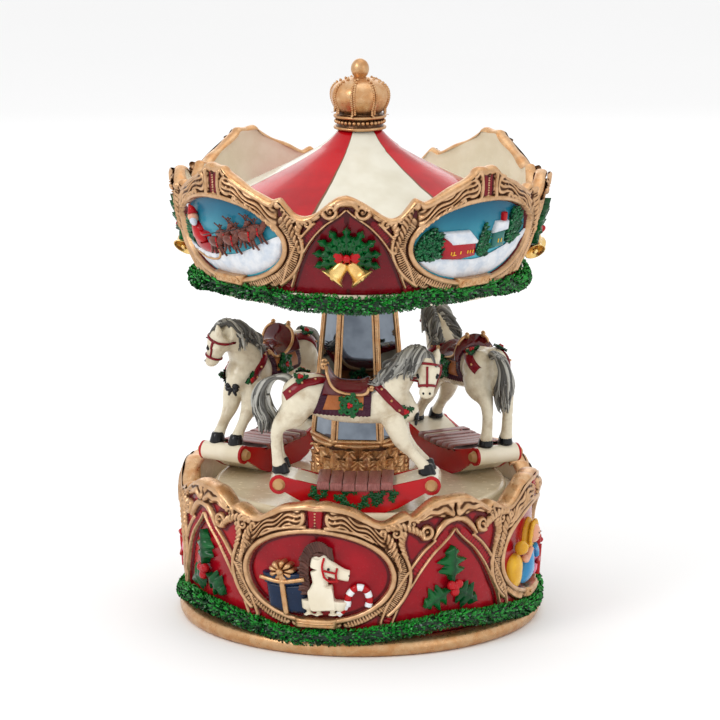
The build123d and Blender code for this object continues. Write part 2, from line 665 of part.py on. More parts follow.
capital_profile = [(8.1, 100.1), (10.6, 100.1), (10.4, 101.6), (11.4, 103.4), (12.4, 104.8), (12.4, 105.9), (8.1, 105.9)]
save(revolved(capital_profile), "column_capital")

with BuildPart() as tie_rod:
    with Locations((0, 0, 41.3)):
        Cylinder(TIE_ROD_RADIUS, 118.5, align=(Align.CENTER, Align.CENTER, Align.MIN))
save(tie_rod.part, "tie_rod")

# ---------------------------------------------------------------- canopy
CANOPY_SMALL = [CANOPY_TURN + quarter for quarter in QUARTERS]
CANOPY_BIG = [azimuth + 45 for azimuth in CANOPY_SMALL]
CANOPY_BIG_CREST = [(0, 147.8), (0.16, 147.0), (0.4, 143.0), (0.66, 139.4), (0.84, 136.4), (1, CANOPY_DIP)]
CANOPY_SMALL_CREST = [(0, 140.0), (0.3, 138.6), (0.62, 135.0), (1, CANOPY_DIP)]

canopy_crests = [crest_cutter(az, 57.2, CANOPY_BIG_HALF, CANOPY_BIG_CREST, 38, 26) for az in CANOPY_BIG]
canopy_crests += [crest_cutter(az, 57.2, CANOPY_SMALL_HALF, CANOPY_SMALL_CREST, 46, 18) for az in CANOPY_SMALL]
canopy_sinks = wall_band(CANOPY_WALL, -PANEL_SINK, 6, 114.2, 142)
canopy_oval_sinks = canopy_sinks & oval_prisms(CANOPY_BIG, CANOPY_OVAL, 40)
canopy_ogee_sinks = canopy_sinks & ogee_prisms(CANOPY_SMALL, CANOPY_OGEE, 44)
canopy_frame_band = wall_band(CANOPY_WALL, -0.6, FRAME_RISE, 114.6, 146)
canopy_oval_frames = canopy_frame_band & oval_prisms(CANOPY_BIG, CANOPY_OVAL, 40, rim=FRAME_WIDTH)
canopy_ogee_frames = canopy_frame_band & ogee_prisms(CANOPY_SMALL, CANOPY_OGEE, 44, rim=FRAME_WIDTH)

canopy_inside = [(r - CANOPY_THICKNESS, z) for r, z in CANOPY_WALL]
LEDGE_Z = 125.6
ledge = between(canopy_inside, LEDGE_Z)
with BuildPart() as canopy_shell:
    with BuildSketch(Plane.XZ):
        with BuildLine():
            Polyline(
                (TIE_ROD_RADIUS + 0.1, CANOPY_BOTTOM),
                *CANOPY_WALL,
                *[p for p in reversed(canopy_inside) if p[1] > 126],
                (ledge, LEDGE_Z),
                (ledge - 1.6, LEDGE_Z - 0.4),
                (ledge - 2.4, LEDGE_Z - 3.0),
                *[p for p in reversed(canopy_inside) if CANOPY_BOTTOM + CEILING < p[1] < 121],
                (between(canopy_inside, CANOPY_BOTTOM + CEILING), CANOPY_BOTTOM + CEILING),
                (TIE_ROD_RADIUS + 0.1, CANOPY_BOTTOM + CEILING),
                close=True,
            )
        make_face()
    revolve(axis=Axis.Z)
    add([canopy_oval_frames, canopy_ogee_frames])
    add(canopy_crests, mode=Mode.SUBTRACT)
    add([canopy_oval_sinks, canopy_ogee_sinks], mode=Mode.SUBTRACT)
save(canopy_shell.part.solids().sort_by(SortBy.VOLUME)[-1], "canopy_shell")

roof_inside = [(r - 0.9, z - ROOF_THICKNESS) for r, z in ROOF]
roof_profile = [(TIE_ROD_RADIUS + 0.1, ROOF[0][1]), *ROOF]
roof_profile += [(ROOF[-1][0], LEDGE_Z + 0.1), (ROOF[-1][0] - 1.4, LEDGE_Z + 0.1), *reversed(roof_inside[:-1])]
roof_profile += [(TIE_ROD_RADIUS + 0.1, ROOF[0][1] - ROOF_THICKNESS)]
save(revolved(roof_profile), "tent_roof")

garland_profile = [(between(CANOPY_WALL, z) + 0.2, z) for z in (106.2, 111.0, 114.0)]
garland_profile += [(53.4, 114.4), (54.2, 111.0), (53.4, 107.0), (51.4, 105.6)]
save(revolved(garland_profile), "canopy_garland")

# winter pictures and bell ornaments, cast apart and glued into the sunk panels
canopy_relief_band = wall_band(CANOPY_WALL, -PANEL_SINK, 0.8, 112, 140)
canopy_oval = oval_prisms(CANOPY_BIG, CANOPY_OVAL, 40, margin=-0.05)
canopy_ogee = ogee_prisms(CANOPY_SMALL, CANOPY_OGEE, 44, margin=-0.05)
canopy_above_garland = wall_band(CANOPY_WALL, -3, 6, 114.2, 142)
save(canopy_relief_band & canopy_oval & canopy_above_garland, "scene_plaques")
save(canopy_relief_band & canopy_ogee & canopy_above_garland, "bell_appliques")

crown_profile = [
    (0, 160.6),
    (TIE_ROD_RADIUS + 0.05, 160.6),
    (TIE_ROD_RADIUS + 0.05, CROWN_BOTTOM + 0.05),
    (7.4, CROWN_BOTTOM + 0.05),
    (7.6, 157.0),
    (7.2, 157.4),
    (9.4, 159.6),
    (10.6, 162.8),
    (9.9, 165.6),
    (6.6, 168.0),
    (2.6, 169.0),
    (3.2, 170.2),
    (3.5, 171.8),
    (2.6, 174.1),
    (0, TOTAL_HEIGHT),
]
save(revolved(crown_profile), "crown_finial")

# ---------------------------------------------------------------- rocking horse, made once
# x is forward, y to the horse's left, z above the turntable
RAIL_OUTLINE = [(0, 0.05), (9, 0.05), (13, 1.4), (21.3, 6.2)]
RAIL_TOP = [(21.3, 10.8), (12, 8.6), (0, 6.9)]
with BuildPart() as rocker:
    with BuildSketch(Plane.XZ.offset(-ROCKER_HALF_WIDTH)):
        with BuildLine():
            Polyline((0, 0.05), (9, 0.05), (13, 1.6), (21.6, 6.6), (23.1, 8.5), (21.6, 11.0), (12, 8.2), (0, 6.2))
            mirror(about=Plane.YZ)
        make_face()
        with Locations((-BOSS_X, BOSS_Z), (BOSS_X, BOSS_Z)):
            Circle(ROLL_RADIUS)
    extrude(amount=2 * ROCKER_HALF_WIDTH)
with BuildPart() as rails:
    with BuildSketch(Plane.XZ.offset(ROCKER_HALF_WIDTH)):
        with BuildLine():
            Polyline(*RAIL_OUTLINE, *RAIL_TOP)
            mirror(about=Plane.YZ)
        make_face()
        with Locations((-BOSS_X, BOSS_Z), (BOSS_X, BOSS_Z)):
            Circle(ROLL_RADIUS)
    extrude(amount=RAIL_THICKNESS)
    mirror(about=Plane.XZ)
with BuildPart() as planks:
    for n in range(5):
        middle = (n - 2) * 4.7
        lift = 6.24 + 2.0 * (abs(middle) + 2.3) / 12
        with Locations((middle, 0, lift)):
            Box(4.5, 13.9, 0.7, align=(Align.CENTER, Align.CENTER, Align.MIN))
with BuildPart() as bosses:
    for side in (-1, 1):
        with BuildSketch(Plane.XZ.offset(side * (ROCKER_HALF_WIDTH + RAIL_THICKNESS))):
            with Locations((-BOSS_X, BOSS_Z), (BOSS_X, BOSS_Z)):
                Circle(1.9)
        extrude(amount=side * 1.4, taper=25)

BARREL_Z, BARREL = 31.6, 6.0  # height and radius of the horse's trunk
TRUNK = [(-21, 0), (-20, 3.8), (-16, 5.9), (-9.5, BARREL), (4, BARREL), (10, 5.8), (15, 4.4), (17, 0)]
NECK_AND_HEAD = [
    (4.6, 34.6),
    (6.4, 40.0),
    (9.6, 45.4),
    (14.0, 49.0),
    (19.0, 49.8),
    (23.6, 48.2),
    (26.0, 45.4),
    (26.2, 42.0),
    (24.8, 38.4),
    (22.8, 35.4),
    (20.6, 34.6),
    (18.6, 35.6),
    (17.0, 37.4),
    (15.2, 36.4),
    (14.6, 32.6),
    (9.0, 28.4),
]
HIND_LEG = [
    (-12.0, 38.0),
    (-17.0, 39.6),
    (-21.0, 37.6),
    (-23.2, 32.4),
    (-26.0, 27.4),
    (-25.8, 23.0),
    (-25.2, 17.0),
    (-25.0, 12.15),
    (-20.6, 12.15),
    (-21.6, 17.0),
    (-21.4, 23.6),
    (-17.6, 26.2),
    (-12.0, 28.4),
]
FORE_LEG = [
    (7.0, 31.0),
    (12.4, 31.2),
    (16.6, 26.8),
    (17.0, 21.8),
    (21.2, 15.8),
    (23.6, 12.15),
    (19.2, 12.15),
    (17.4, 15.2),
    (13.0, 19.6),
    (8.0, 24.4),
]
TAIL = [
    (-19.4, 39.6),
    (-23.4, 40.8),
    (-28.4, 39.6),
    (-32.4, 35.0),
    (-33.0, 29.0),
    (-30.4, 24.4),
    (-27.4, 22.6),
    (-26.2, 25.6),
    (-26.0, 30.0),
    (-24.8, 34.0),
    (-22.6, 36.2),
    (-18.8, 36.4),
]
neck_and_head = slab(NECK_AND_HEAD, -3.0, 3.0, 1.2)
tail = slab(TAIL, -1.8, 1.8)
hind_leg = slab(HIND_LEG, 1.3, 5.6, 0.8)
fore_leg = slab(FORE_LEG, 1.5, 5.1)
with BuildPart() as horse:
    with BuildSketch(Plane.XZ):
        with BuildLine():
            trunk_line = Spline(*[(x, BARREL_Z + r) for x, r in TRUNK])
            Line(trunk_line @ 1, trunk_line @ 0)
        make_face()
    revolve(axis=Axis((0, 0, BARREL_Z), (1, 0, 0)))
    add([neck_and_head, tail, hind_leg, fore_leg])
    add([hind_leg.mirror(Plane.XZ), fore_leg.mirror(Plane.XZ)])
    with Locations((20.4, -1.6, 47.4), (20.4, 1.6, 47.4)):
        Cone(1.1, 0.3, 4.0, align=(Align.CENTER, Align.CENTER, Align.MIN))

with BuildPart() as saddle:
    with BuildSketch(Plane.YZ.offset(-9.3)):
        with Locations((0, BARREL_Z)):
            Circle(BARREL + 1.05)
            Circle(BARREL + 0.15, mode=Mode.SUBTRACT)
        with Locations((0, BARREL_Z - 8.6)):
            Rectangle(16, 6, mode=Mode.SUBTRACT)
    extrude(amount=13.7)


def stand(shape, azimuth):
    """Moves a rocking-horse piece from its own frame to its place on the turntable."""
    spot = Vector(0, 0, TABLE_TOP) + outward(azimuth) * HORSE_RADIUS
    return Location(Plane(origin=spot, x_dir=along(azimuth), z_dir=(0, 0, 1))) * shape


HORSE_AZIMUTHS = [HORSE_TURN + third for third in (0, 120, 240)]
for side, azimuth in zip(("front", "right", "left"), HORSE_AZIMUTHS):
    save(stand(horse.part, azimuth), f"horse_{side}")
    save(stand(saddle.part, azimuth), f"saddle_{side}")
    save(stand(rocker.part, azimuth), f"rocker_{side}")
    save(stand(rails.part, azimuth), f"rocker_rails_{side}")
    save(stand(planks.part, azimuth), f"rocker_planks_{side}")
save(Compound(children=[stand(bosses.part, azimuth) for azimuth in HORSE_AZIMUTHS]), "rocker_bosses")
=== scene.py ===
"""Looks of the carousel music box: painted resin, gilded frames, greenery, toys and rocking horses."""

import json
import math

import bpy
import numpy as np
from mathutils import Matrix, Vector
from mathutils.bvhtree import BVHTree

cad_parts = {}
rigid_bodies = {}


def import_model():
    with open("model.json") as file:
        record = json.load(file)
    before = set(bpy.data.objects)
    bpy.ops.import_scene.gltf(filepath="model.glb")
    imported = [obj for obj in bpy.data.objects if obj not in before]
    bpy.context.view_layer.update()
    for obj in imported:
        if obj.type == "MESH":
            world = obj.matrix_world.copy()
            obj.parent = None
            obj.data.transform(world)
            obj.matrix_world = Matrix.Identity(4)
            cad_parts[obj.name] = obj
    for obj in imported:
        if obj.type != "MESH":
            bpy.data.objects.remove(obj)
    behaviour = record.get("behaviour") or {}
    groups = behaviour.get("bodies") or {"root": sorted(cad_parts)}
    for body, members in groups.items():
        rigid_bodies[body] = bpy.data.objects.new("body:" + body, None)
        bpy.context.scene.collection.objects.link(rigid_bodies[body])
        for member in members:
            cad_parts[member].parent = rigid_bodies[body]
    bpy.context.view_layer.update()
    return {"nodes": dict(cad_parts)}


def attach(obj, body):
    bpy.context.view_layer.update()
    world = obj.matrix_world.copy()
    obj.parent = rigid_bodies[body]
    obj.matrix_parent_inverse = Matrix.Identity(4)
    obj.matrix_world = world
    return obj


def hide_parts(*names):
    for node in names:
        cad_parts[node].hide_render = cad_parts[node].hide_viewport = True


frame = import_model()
MM = 0.001
FULL = 2 * math.pi
rng = np.random.default_rng(7)
SIDES = {"front": 12.0, "right": 132.0, "left": 252.0}  # azimuths of the horses, in degrees
QUARTERS = ("front", "right", "rear", "left")
HORSE_RADIUS, TABLE_TOP = 36.0, 42.0
CANOPY_TURN = 55.0  # azimuth of a big oval on the canopy at rest
BASE_RADIUS, CANOPY_RADIUS = 55.3, 57.0  # where arc lengths on the walls are measured
BASE_OVAL_Z, CANOPY_OVAL_Z = 24.6, 125.2
objects = bpy.context.scene.collection.objects


# ------------------------------------------------------------------ materials
class Paint:
    """A node material. Colours are linear RGB; the hollow-darkening value and 'tint' are per-vertex values from 0 to 1.
    The first is low in hollows, where it stands for antique glaze together with painted shade.
    """

    def __init__(self, name, rough=0.3, metal=0.0, coat=0.0, spec=0.5):
        self.m = bpy.data.materials.new(name)
        self.m.use_nodes = True
        self.nt = self.m.node_tree
        self.bsdf = self.nt.nodes["Principled BSDF"]
        self.fill(self.bsdf, {"Roughness": rough, "Metallic": metal, "Coat Weight": coat, "Coat Roughness": 0.06,
                              "Specular IOR Level": spec})
        self.coords = self.add("TexCoord", {}, "Object")

    def fill(self, node, inputs):
        """Links or sets a node's inputs, given by name."""
        for key, value in inputs.items():
            socket = node.inputs[key]
            if isinstance(value, bpy.types.NodeSocket):
                self.nt.links.new(value, socket)
            else:
                socket.default_value = (*value, 1.0) if socket.type == "RGBA" else value

    def add(self, kind, inputs, output, **settings):
        """Adds a shader node and returns one of its outputs."""
        node = self.nt.nodes.new("ShaderNode" + kind)
        for key, value in settings.items():
            setattr(node, key, value)
        self.fill(node, inputs)
        return node.outputs[output]

    def math(self, operation, a, b=0.5):
        return self.add("Math", {0: a, 1: b}, 0, operation=operation)

    def noise(self, size, detail=3.0, rough=0.55, stretch=None):
        """Noise with features of about this size in millimetres."""
        vector = self.coords
        if stretch:
            vector = self.add("Mapping", {"Scale": stretch, "Vector": vector}, "Vector")
        inputs = {"Vector": vector, "Scale": 1000.0 / size, "Detail": detail, "Roughness": rough}
        return self.add("TexNoise", inputs, "Fac")

    def cells(self, size, output="Distance"):
        return self.add("TexVoronoi", {"Vector": self.coords, "Scale": 1000.0 / size}, output)

    def attribute(self, name):
        return self.add("Attribute", {}, "Fac", attribute_name=name)

    def ramp(self, value, low, high, a=0.0, b=1.0):
        inputs = {"Value": value, "From Min": low, "From Max": high, "To Min": a, "To Max": b}
        return self.add("MapRange", inputs, "Result", interpolation_type="SMOOTHSTEP")

    def mix(self, factor, a, b):
        return self.add("Mix", {"Factor": factor, "A": a, "B": b}, "Result", data_type="RGBA")

    def blotch(self, size, detail, low, high, a, b):
        """Two colours mixed by soft noise."""
        return self.mix(self.ramp(self.noise(size, detail), low, high), a, b)

    def axis(self, name):
        return self.add("SeparateXYZ", {"Vector": self.coords}, name)

    def colour(self, value):
        self.fill(self.bsdf, {"Base Color": value})

    def rough(self, value):
        self.fill(self.bsdf, {"Roughness": value})

    def bump(self, height, distance=0.1, strength=0.4):
        inputs = {"Strength": strength, "Distance": distance * MM, "Height": height}
        self.fill(self.bsdf, {"Normal": self.add("Bump", inputs, "Normal")})


def lacquer(name, base, shade, rough=0.2, coat=0.16, patch=9.0, wash=None):
    """Brushed glossy paint over cast resin, a little uneven; if a colour is given for its hollows, they darken towards
    it, antique glaze together with painted shade.
    """
    p = Paint(name, rough=rough, coat=coat, spec=0.2)
    body = p.blotch(patch, 4, 0.35, 0.68, base, shade)
    # hollows darkened: antique glaze together with painted shade
    if wash is not None:
        body = p.mix(p.ramp(p.attribute("wash"), 0.05, 0.75, 1.0, 0.0), body, wash)
    p.colour(body)
    p.rough(p.ramp(p.noise(1.6, 3), 0.3, 0.75, rough * 0.7, rough * 1.5))
    p.bump(p.noise(2.4, 4), 0.12, 0.16)
    return p.m


def gilding(name, bright, dark, rough=0.34, cut=0.5):
    """Gold paint rubbed with a brown glaze, dark brown in the hollows, where the darkening stands for the glaze
    together with painted shade.
    """
    p = Paint(name, rough=rough, metal=0.85, coat=0.1, spec=0.4)
    # dark in the hollows, broken up by noise: brown glaze together with painted shade
    dark_glaze_and_shade = p.math("ADD", p.attribute("wash"), p.math("MULTIPLY", p.noise(0.9, 5, 0.65), 0.5))
    dark_glaze_and_shade = p.ramp(dark_glaze_and_shade, 0.34, 0.34 + cut, 1.0, 0.0)
    warm = p.blotch(3.0, 3, 0.35, 0.7, bright, tuple(c * f for c, f in zip(bright, (0.86, 0.7, 0.55))))
    p.colour(p.mix(dark_glaze_and_shade, warm, dark))
    p.rough(p.ramp(p.noise(0.8, 3), 0.3, 0.7, rough * 0.75, rough * 1.35))
    p.bump(p.noise(0.55, 4, 0.6), 0.12, 0.35)
    return p.m


def greenery(name, dark, light, glitter=0.5):
    """Painted evergreen with flecks of clear glitter."""
    p = Paint(name, rough=0.3, coat=0.1, spec=0.3)
    body = p.mix(p.ramp(p.attribute("tint"), 0.1, 0.95), dark, light)
    # near-black green where the hollow value is low: painted shade, with antique glaze, in hollows and inside the
    # needles
    body = p.mix(p.ramp(p.attribute("wash"), 0.0, 0.7, 0.85, 0.0), body, (0.002, 0.012, 0.006))
    flecks = p.ramp(p.cells(0.55, output="Color"), 0.8, 0.9)
    p.colour(p.mix(p.math("MULTIPLY", flecks, glitter), body, (0.55, 0.8, 0.62)))
    p.rough(p.ramp(flecks, 0.0, 1.0, 0.36, 0.08))
    p.bump(p.cells(0.5), 0.16, 0.7)
    return p.m


def metal(name, base, rough):
    """Bare metal with a fine grain."""
    p = Paint(name, rough=rough, metal=1.0)
    grain = p.noise(0.6, 4, 0.6)
    p.colour(p.blotch(5.0, 3, 0.3, 0.7, base, tuple(c * 0.82 for c in base)))
    p.rough(p.ramp(grain, 0.3, 0.7, rough * 0.75, rough * 1.35))
    p.bump(grain, 0.03, 0.3)
    return p.m


def moulded(name, base):
    """Fine-grained plastic."""
    p = Paint(name)
    p.colour(p.blotch(12.0, 3, 0.3, 0.7, base, tuple(c * 0.85 + 0.004 for c in base)))
    p.rough(p.ramp(p.noise(0.7, 4), 0.3, 0.7, 0.425, 0.6))
    p.bump(p.noise(0.45, 3), 0.05, 0.4)
    return p.m


DEEP_RED = lacquer("deep_red_lacquer", (0.20, 0.003, 0.010), (0.14, 0.002, 0.008))
BRIGHT_RED = lacquer("bright_red_lacquer", (0.46, 0.002, 0.006), (0.36, 0.002, 0.006), rough=0.16)
CREAM = lacquer("cream_lacquer", (0.82, 0.75, 0.60), (0.74, 0.66, 0.50))
WARM_CREAM = lacquer("turntable_cream", (0.74, 0.64, 0.46), (0.65, 0.54, 0.36))
WHITE = lacquer("white_paint", (0.85, 0.86, 0.86), (0.74, 0.77, 0.80))
BLACK = lacquer("black_gloss", (0.006, 0.007, 0.008), (0.012, 0.012, 0.014), rough=0.12)
NAVY = lacquer("navy_paint", (0.004, 0.018, 0.055), (0.003, 0.012, 0.038))
BROWN = lacquer("brown_paint", (0.12, 0.045, 0.032), (0.075, 0.028, 0.020), wash=(0.03, 0.010, 0.008))
GOLD = gilding("antique_gold", (0.66, 0.41, 0.215), (0.060, 0.022, 0.008))
SOFT_GOLD = gilding("smooth_gold", (0.60, 0.37, 0.19), (0.16, 0.07, 0.025), cut=0.2)
BOSS_GOLD = lacquer("boss_gold", (0.52, 0.31, 0.13), (0.36, 0.19, 0.075))
BELL_GOLD = gilding("bell_gold", (0.86, 0.62, 0.24), (0.14, 0.06, 0.016), rough=0.24, cut=0.25)
GREEN = greenery("garland_green", (0.001, 0.030, 0.006), (0.014, 0.33, 0.030), 0.3)
HOLLY = lacquer("holly_green", (0.004, 0.115, 0.024), (0.002, 0.060, 0.014), rough=0.2, wash=(0.001, 0.010, 0.004))
BERRY = lacquer("berry_red", (0.50, 0.008, 0.014), (0.36, 0.005, 0.010), rough=0.12)


def assign(nodes, material):
    """Gives carried-over CAD nodes, named in one string, this material."""
    for node in nodes.split():
        mesh = frame["nodes"][node].data
        mesh.materials.clear()
        mesh.materials.append(material)


BRASS = metal("brass", (0.80, 0.56, 0.20), 0.26)
STEEL = metal("bright_steel", (0.62, 0.62, 0.64), 0.28)
BLUED = metal("blued_steel", (0.10, 0.12, 0.18), 0.3)
ZINC = metal("zinc_casting", (0.50, 0.51, 0.53), 0.5)
BLACK_PLASTIC = moulded("black_plastic", (0.012, 0.012, 0.013))
WHITE_PLASTIC = moulded("white_plastic", (0.75, 0.75, 0.72))

assign("bottom_cover air_brake", BLACK_PLASTIC)
assign("spindle_bush", WHITE_PLASTIC)
assign("movement_bedplate", ZINC)
assign("cover_screws bed_screws comb_screws music_comb winding_arbor drive_spindle cylinder_pivot tie_rod", STEEL)
assign("governor_frame governor_worm", STEEL)
assign("mainspring", BLUED)
assign("near_bearing_bracket far_bearing_bracket spring_barrel barrel_lid music_cylinder", BRASS)
assign("cylinder_pinion great_wheel governor_arbor winding_key", BRASS)
assign("turntable", WARM_CREAM)
assign("rocker_front rocker_right rocker_left", CREAM)


# ------------------------------------------------------------------ building meshes
class Form:
    """Gathers surfaces given in millimetres, with a material index, a hollow-darkening value (antique glaze together
    with painted shade) and a tint value, into one mesh.
    """

    def __init__(self):
        self.points, self.quads, self.kinds, self.washes, self.tints, self.count = [], [], [], [], [], 0

    def patch(self, points, quads, kind=0, wash=1.0, tint=0.5):
        points = np.asarray(points, float).reshape(-1, 3)
        self.points.append(points)
        self.quads.append(np.asarray(quads, int).reshape(-1, 4) + self.count)
        self.kinds.append(np.full(len(self.quads[-1]), kind))
        self.washes.append(np.broadcast_to(np.asarray(wash, float).ravel(), len(points)).copy())
        self.tints.append(np.broadcast_to(np.asarray(tint, float).ravel(), len(points)).copy())
        self.count += len(points)

    def grid(self, points, kind=0, wash=1.0, tint=0.5, loop_u=False, loop_v=False, flip=False):
        """Surface from an array of points shaped (n, m, 3)."""
        points = np.asarray(points, float)
        n, m = points.shape[:2]
        i = np.arange(n if loop_u else n - 1)[:, None]
        j = np.arange(m if loop_v else m - 1)[None, :]
        a = i * m + j
        b = ((i + 1) % n) * m + j
        c = ((i + 1) % n) * m + (j + 1) % m
        d = i * m + (j + 1) % m
        quads = np.stack([a, d, c, b] if flip else [a, b, c, d], -1)
        wash, tint = (np.broadcast_to(v, (n, m)) if np.ndim(v) > 0 else v for v in (wash, tint))
        self.patch(points, quads, kind, wash, tint)

    def tube(self, line, radii, kind=0, sides=8, normal=(0, 0, 1), wash=1.0, tint=0.5, loop=False):
        """Swept rod. Radii are one for all, or spread evenly along it."""
        line = np.asarray(line, float)
        radii = np.ravel(np.asarray(radii, float))
        radii = np.interp(np.linspace(0, 1, len(line)), np.linspace(0, 1, len(radii)), radii)
        if loop:
            ahead, behind = np.roll(line, -1, 0), np.roll(line, 1, 0)
        else:
            ahead, behind = np.vstack([line[1:], line[-1:]]), np.vstack([line[:1], line[:-1]])
        along = unit(ahead - behind)
        side = unit(np.cross(along, np.broadcast_to(np.asarray(normal, float), line.shape)) + 1e-9)
        up = np.cross(side, along)
        turn = circle(sides)
        ring = np.cos(turn)[:, None] * side[:, None] + np.sin(turn)[:, None] * up[:, None]
        points = line[:, None] + ring * radii[:, None, None]
        if not loop:
            points = np.concatenate([np.repeat(line[:1, None], sides, 1), points, np.repeat(line[-1:, None], sides, 1)])
        self.grid(points, kind, wash, tint, loop_u=loop, loop_v=True, flip=True)

    def ball(self, centre, radius, kind=0, stretch=(1, 1, 1), rings=7, sides=10, wash=1.0):
        u = np.linspace(0, math.pi, rings)[:, None]
        v = circle(sides)[None, :]
        shape = np.stack([np.sin(u) * np.cos(v), np.sin(u) * np.sin(v), np.cos(u) + 0 * v], -1)
        points = np.asarray(centre, float) + shape * np.asarray(stretch, float) * radius
        self.grid(points, kind, wash, loop_v=True)

    def limb(self, line, steps, at, radii, kind=0, **more):
        """Tube along a smooth line, with its radii given at fractions of the way."""
        self.tube(curve(line, steps), np.interp(np.linspace(0, 1, steps), at, radii), kind, **more)

    def moved(self, move):
        """A new form with the same surfaces, its points moved by a function."""
        copy = Form()
        values = (np.concatenate(v) for v in (self.quads, self.kinds, self.washes, self.tints))
        copy.quads, copy.kinds, copy.washes, copy.tints = ([v] for v in values)
        copy.points = [move(np.concatenate(self.points))]
        return copy

    def build(self, name, materials, body, stands_for=(), slot=None):
        points = np.concatenate(self.points) * MM
        quads = np.concatenate(self.quads)
        mesh = bpy.data.meshes.new(name)
        mesh.from_pydata(points.tolist(), [], quads.tolist())
        for key, values in (("wash", self.washes), ("tint", self.tints)):
            layer = mesh.attributes.new(key, "FLOAT", "POINT")
            layer.data.foreach_set("value", np.concatenate(values).astype(np.float32))
        for material in materials:
            mesh.materials.append(material)
        mesh.polygons.foreach_set("material_index", np.concatenate(self.kinds).astype(np.int32))
        mesh.polygons.foreach_set("use_smooth", np.full(len(quads), True))
        mesh.validate()
        mesh.update()
        piece = bpy.data.objects.new(name, mesh)
        objects.link(piece)
        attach(piece, body)
        if stands_for:
            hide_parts(*stands_for)
        return piece


def circle(steps):
    """Angles right round, in radians."""
    return np.linspace(0, FULL, steps, endpoint=False)


def unit(vectors):
    return vectors / np.maximum(np.linalg.norm(vectors, axis=-1, keepdims=True), 1e-12)


def curve(points, steps):
    """Smooth line through the points: Catmull-Rom, with this many steps in all, evenly spaced."""
    p = np.asarray(points, float)
    q = np.vstack([2 * p[0] - p[1], p, 2 * p[-1] - p[-2]])
    out = []
    t = np.linspace(0, 1, 24, endpoint=False)[:, None]
    for i in range(len(p) - 1):
        a, b, c, d = q[i : i + 4]
        out.append(0.5 * (2 * b + (c - a) * t + (2 * a - 5 * b + 4 * c - d) * t**2 + (3 * b - a - 3 * c + d) * t**3))
    line = np.vstack([*out, p[-1:]])
    run = np.concatenate([[0], np.cumsum(np.linalg.norm(np.diff(line, axis=0), axis=1))])
    at = np.linspace(0, run[-1], steps)
    return np.stack([np.interp(at, run, line[:, k]) for k in range(line.shape[1])], -1)


def around(azimuth, radius, z):
    """Point or points at this azimuth (degrees from the front towards the right), radius and height."""
    a = np.radians(azimuth)
    return np.stack(np.broadcast_arrays(radius * np.sin(a), -radius * np.cos(a), z), -1)


def turned(form, profile, steps=360, wash=1.0):
    """Surface of revolution from (radius, height) pairs."""
    spin = np.linspace(0, 360, steps, endpoint=False)[:, None]
    r, z = np.array(profile, float).T[:, None]
    form.grid(around(spin, r, z + 0 * spin), 0, wash, 1.0, loop_u=True)


def standing(azimuth):
    """Mapping from a horse's own frame, x forward, y to its left and z up, to its place on the table."""
    a = math.radians(azimuth)
    forward = np.array([math.cos(a), math.sin(a), 0])
    left = np.array([-math.sin(a), math.cos(a), 0])
    origin = around(azimuth, HORSE_RADIUS, TABLE_TOP)
    return lambda p: origin + p[..., :1] * forward + p[..., 1:2] * left + p[..., 2:] * np.array([0, 0, 1.0])


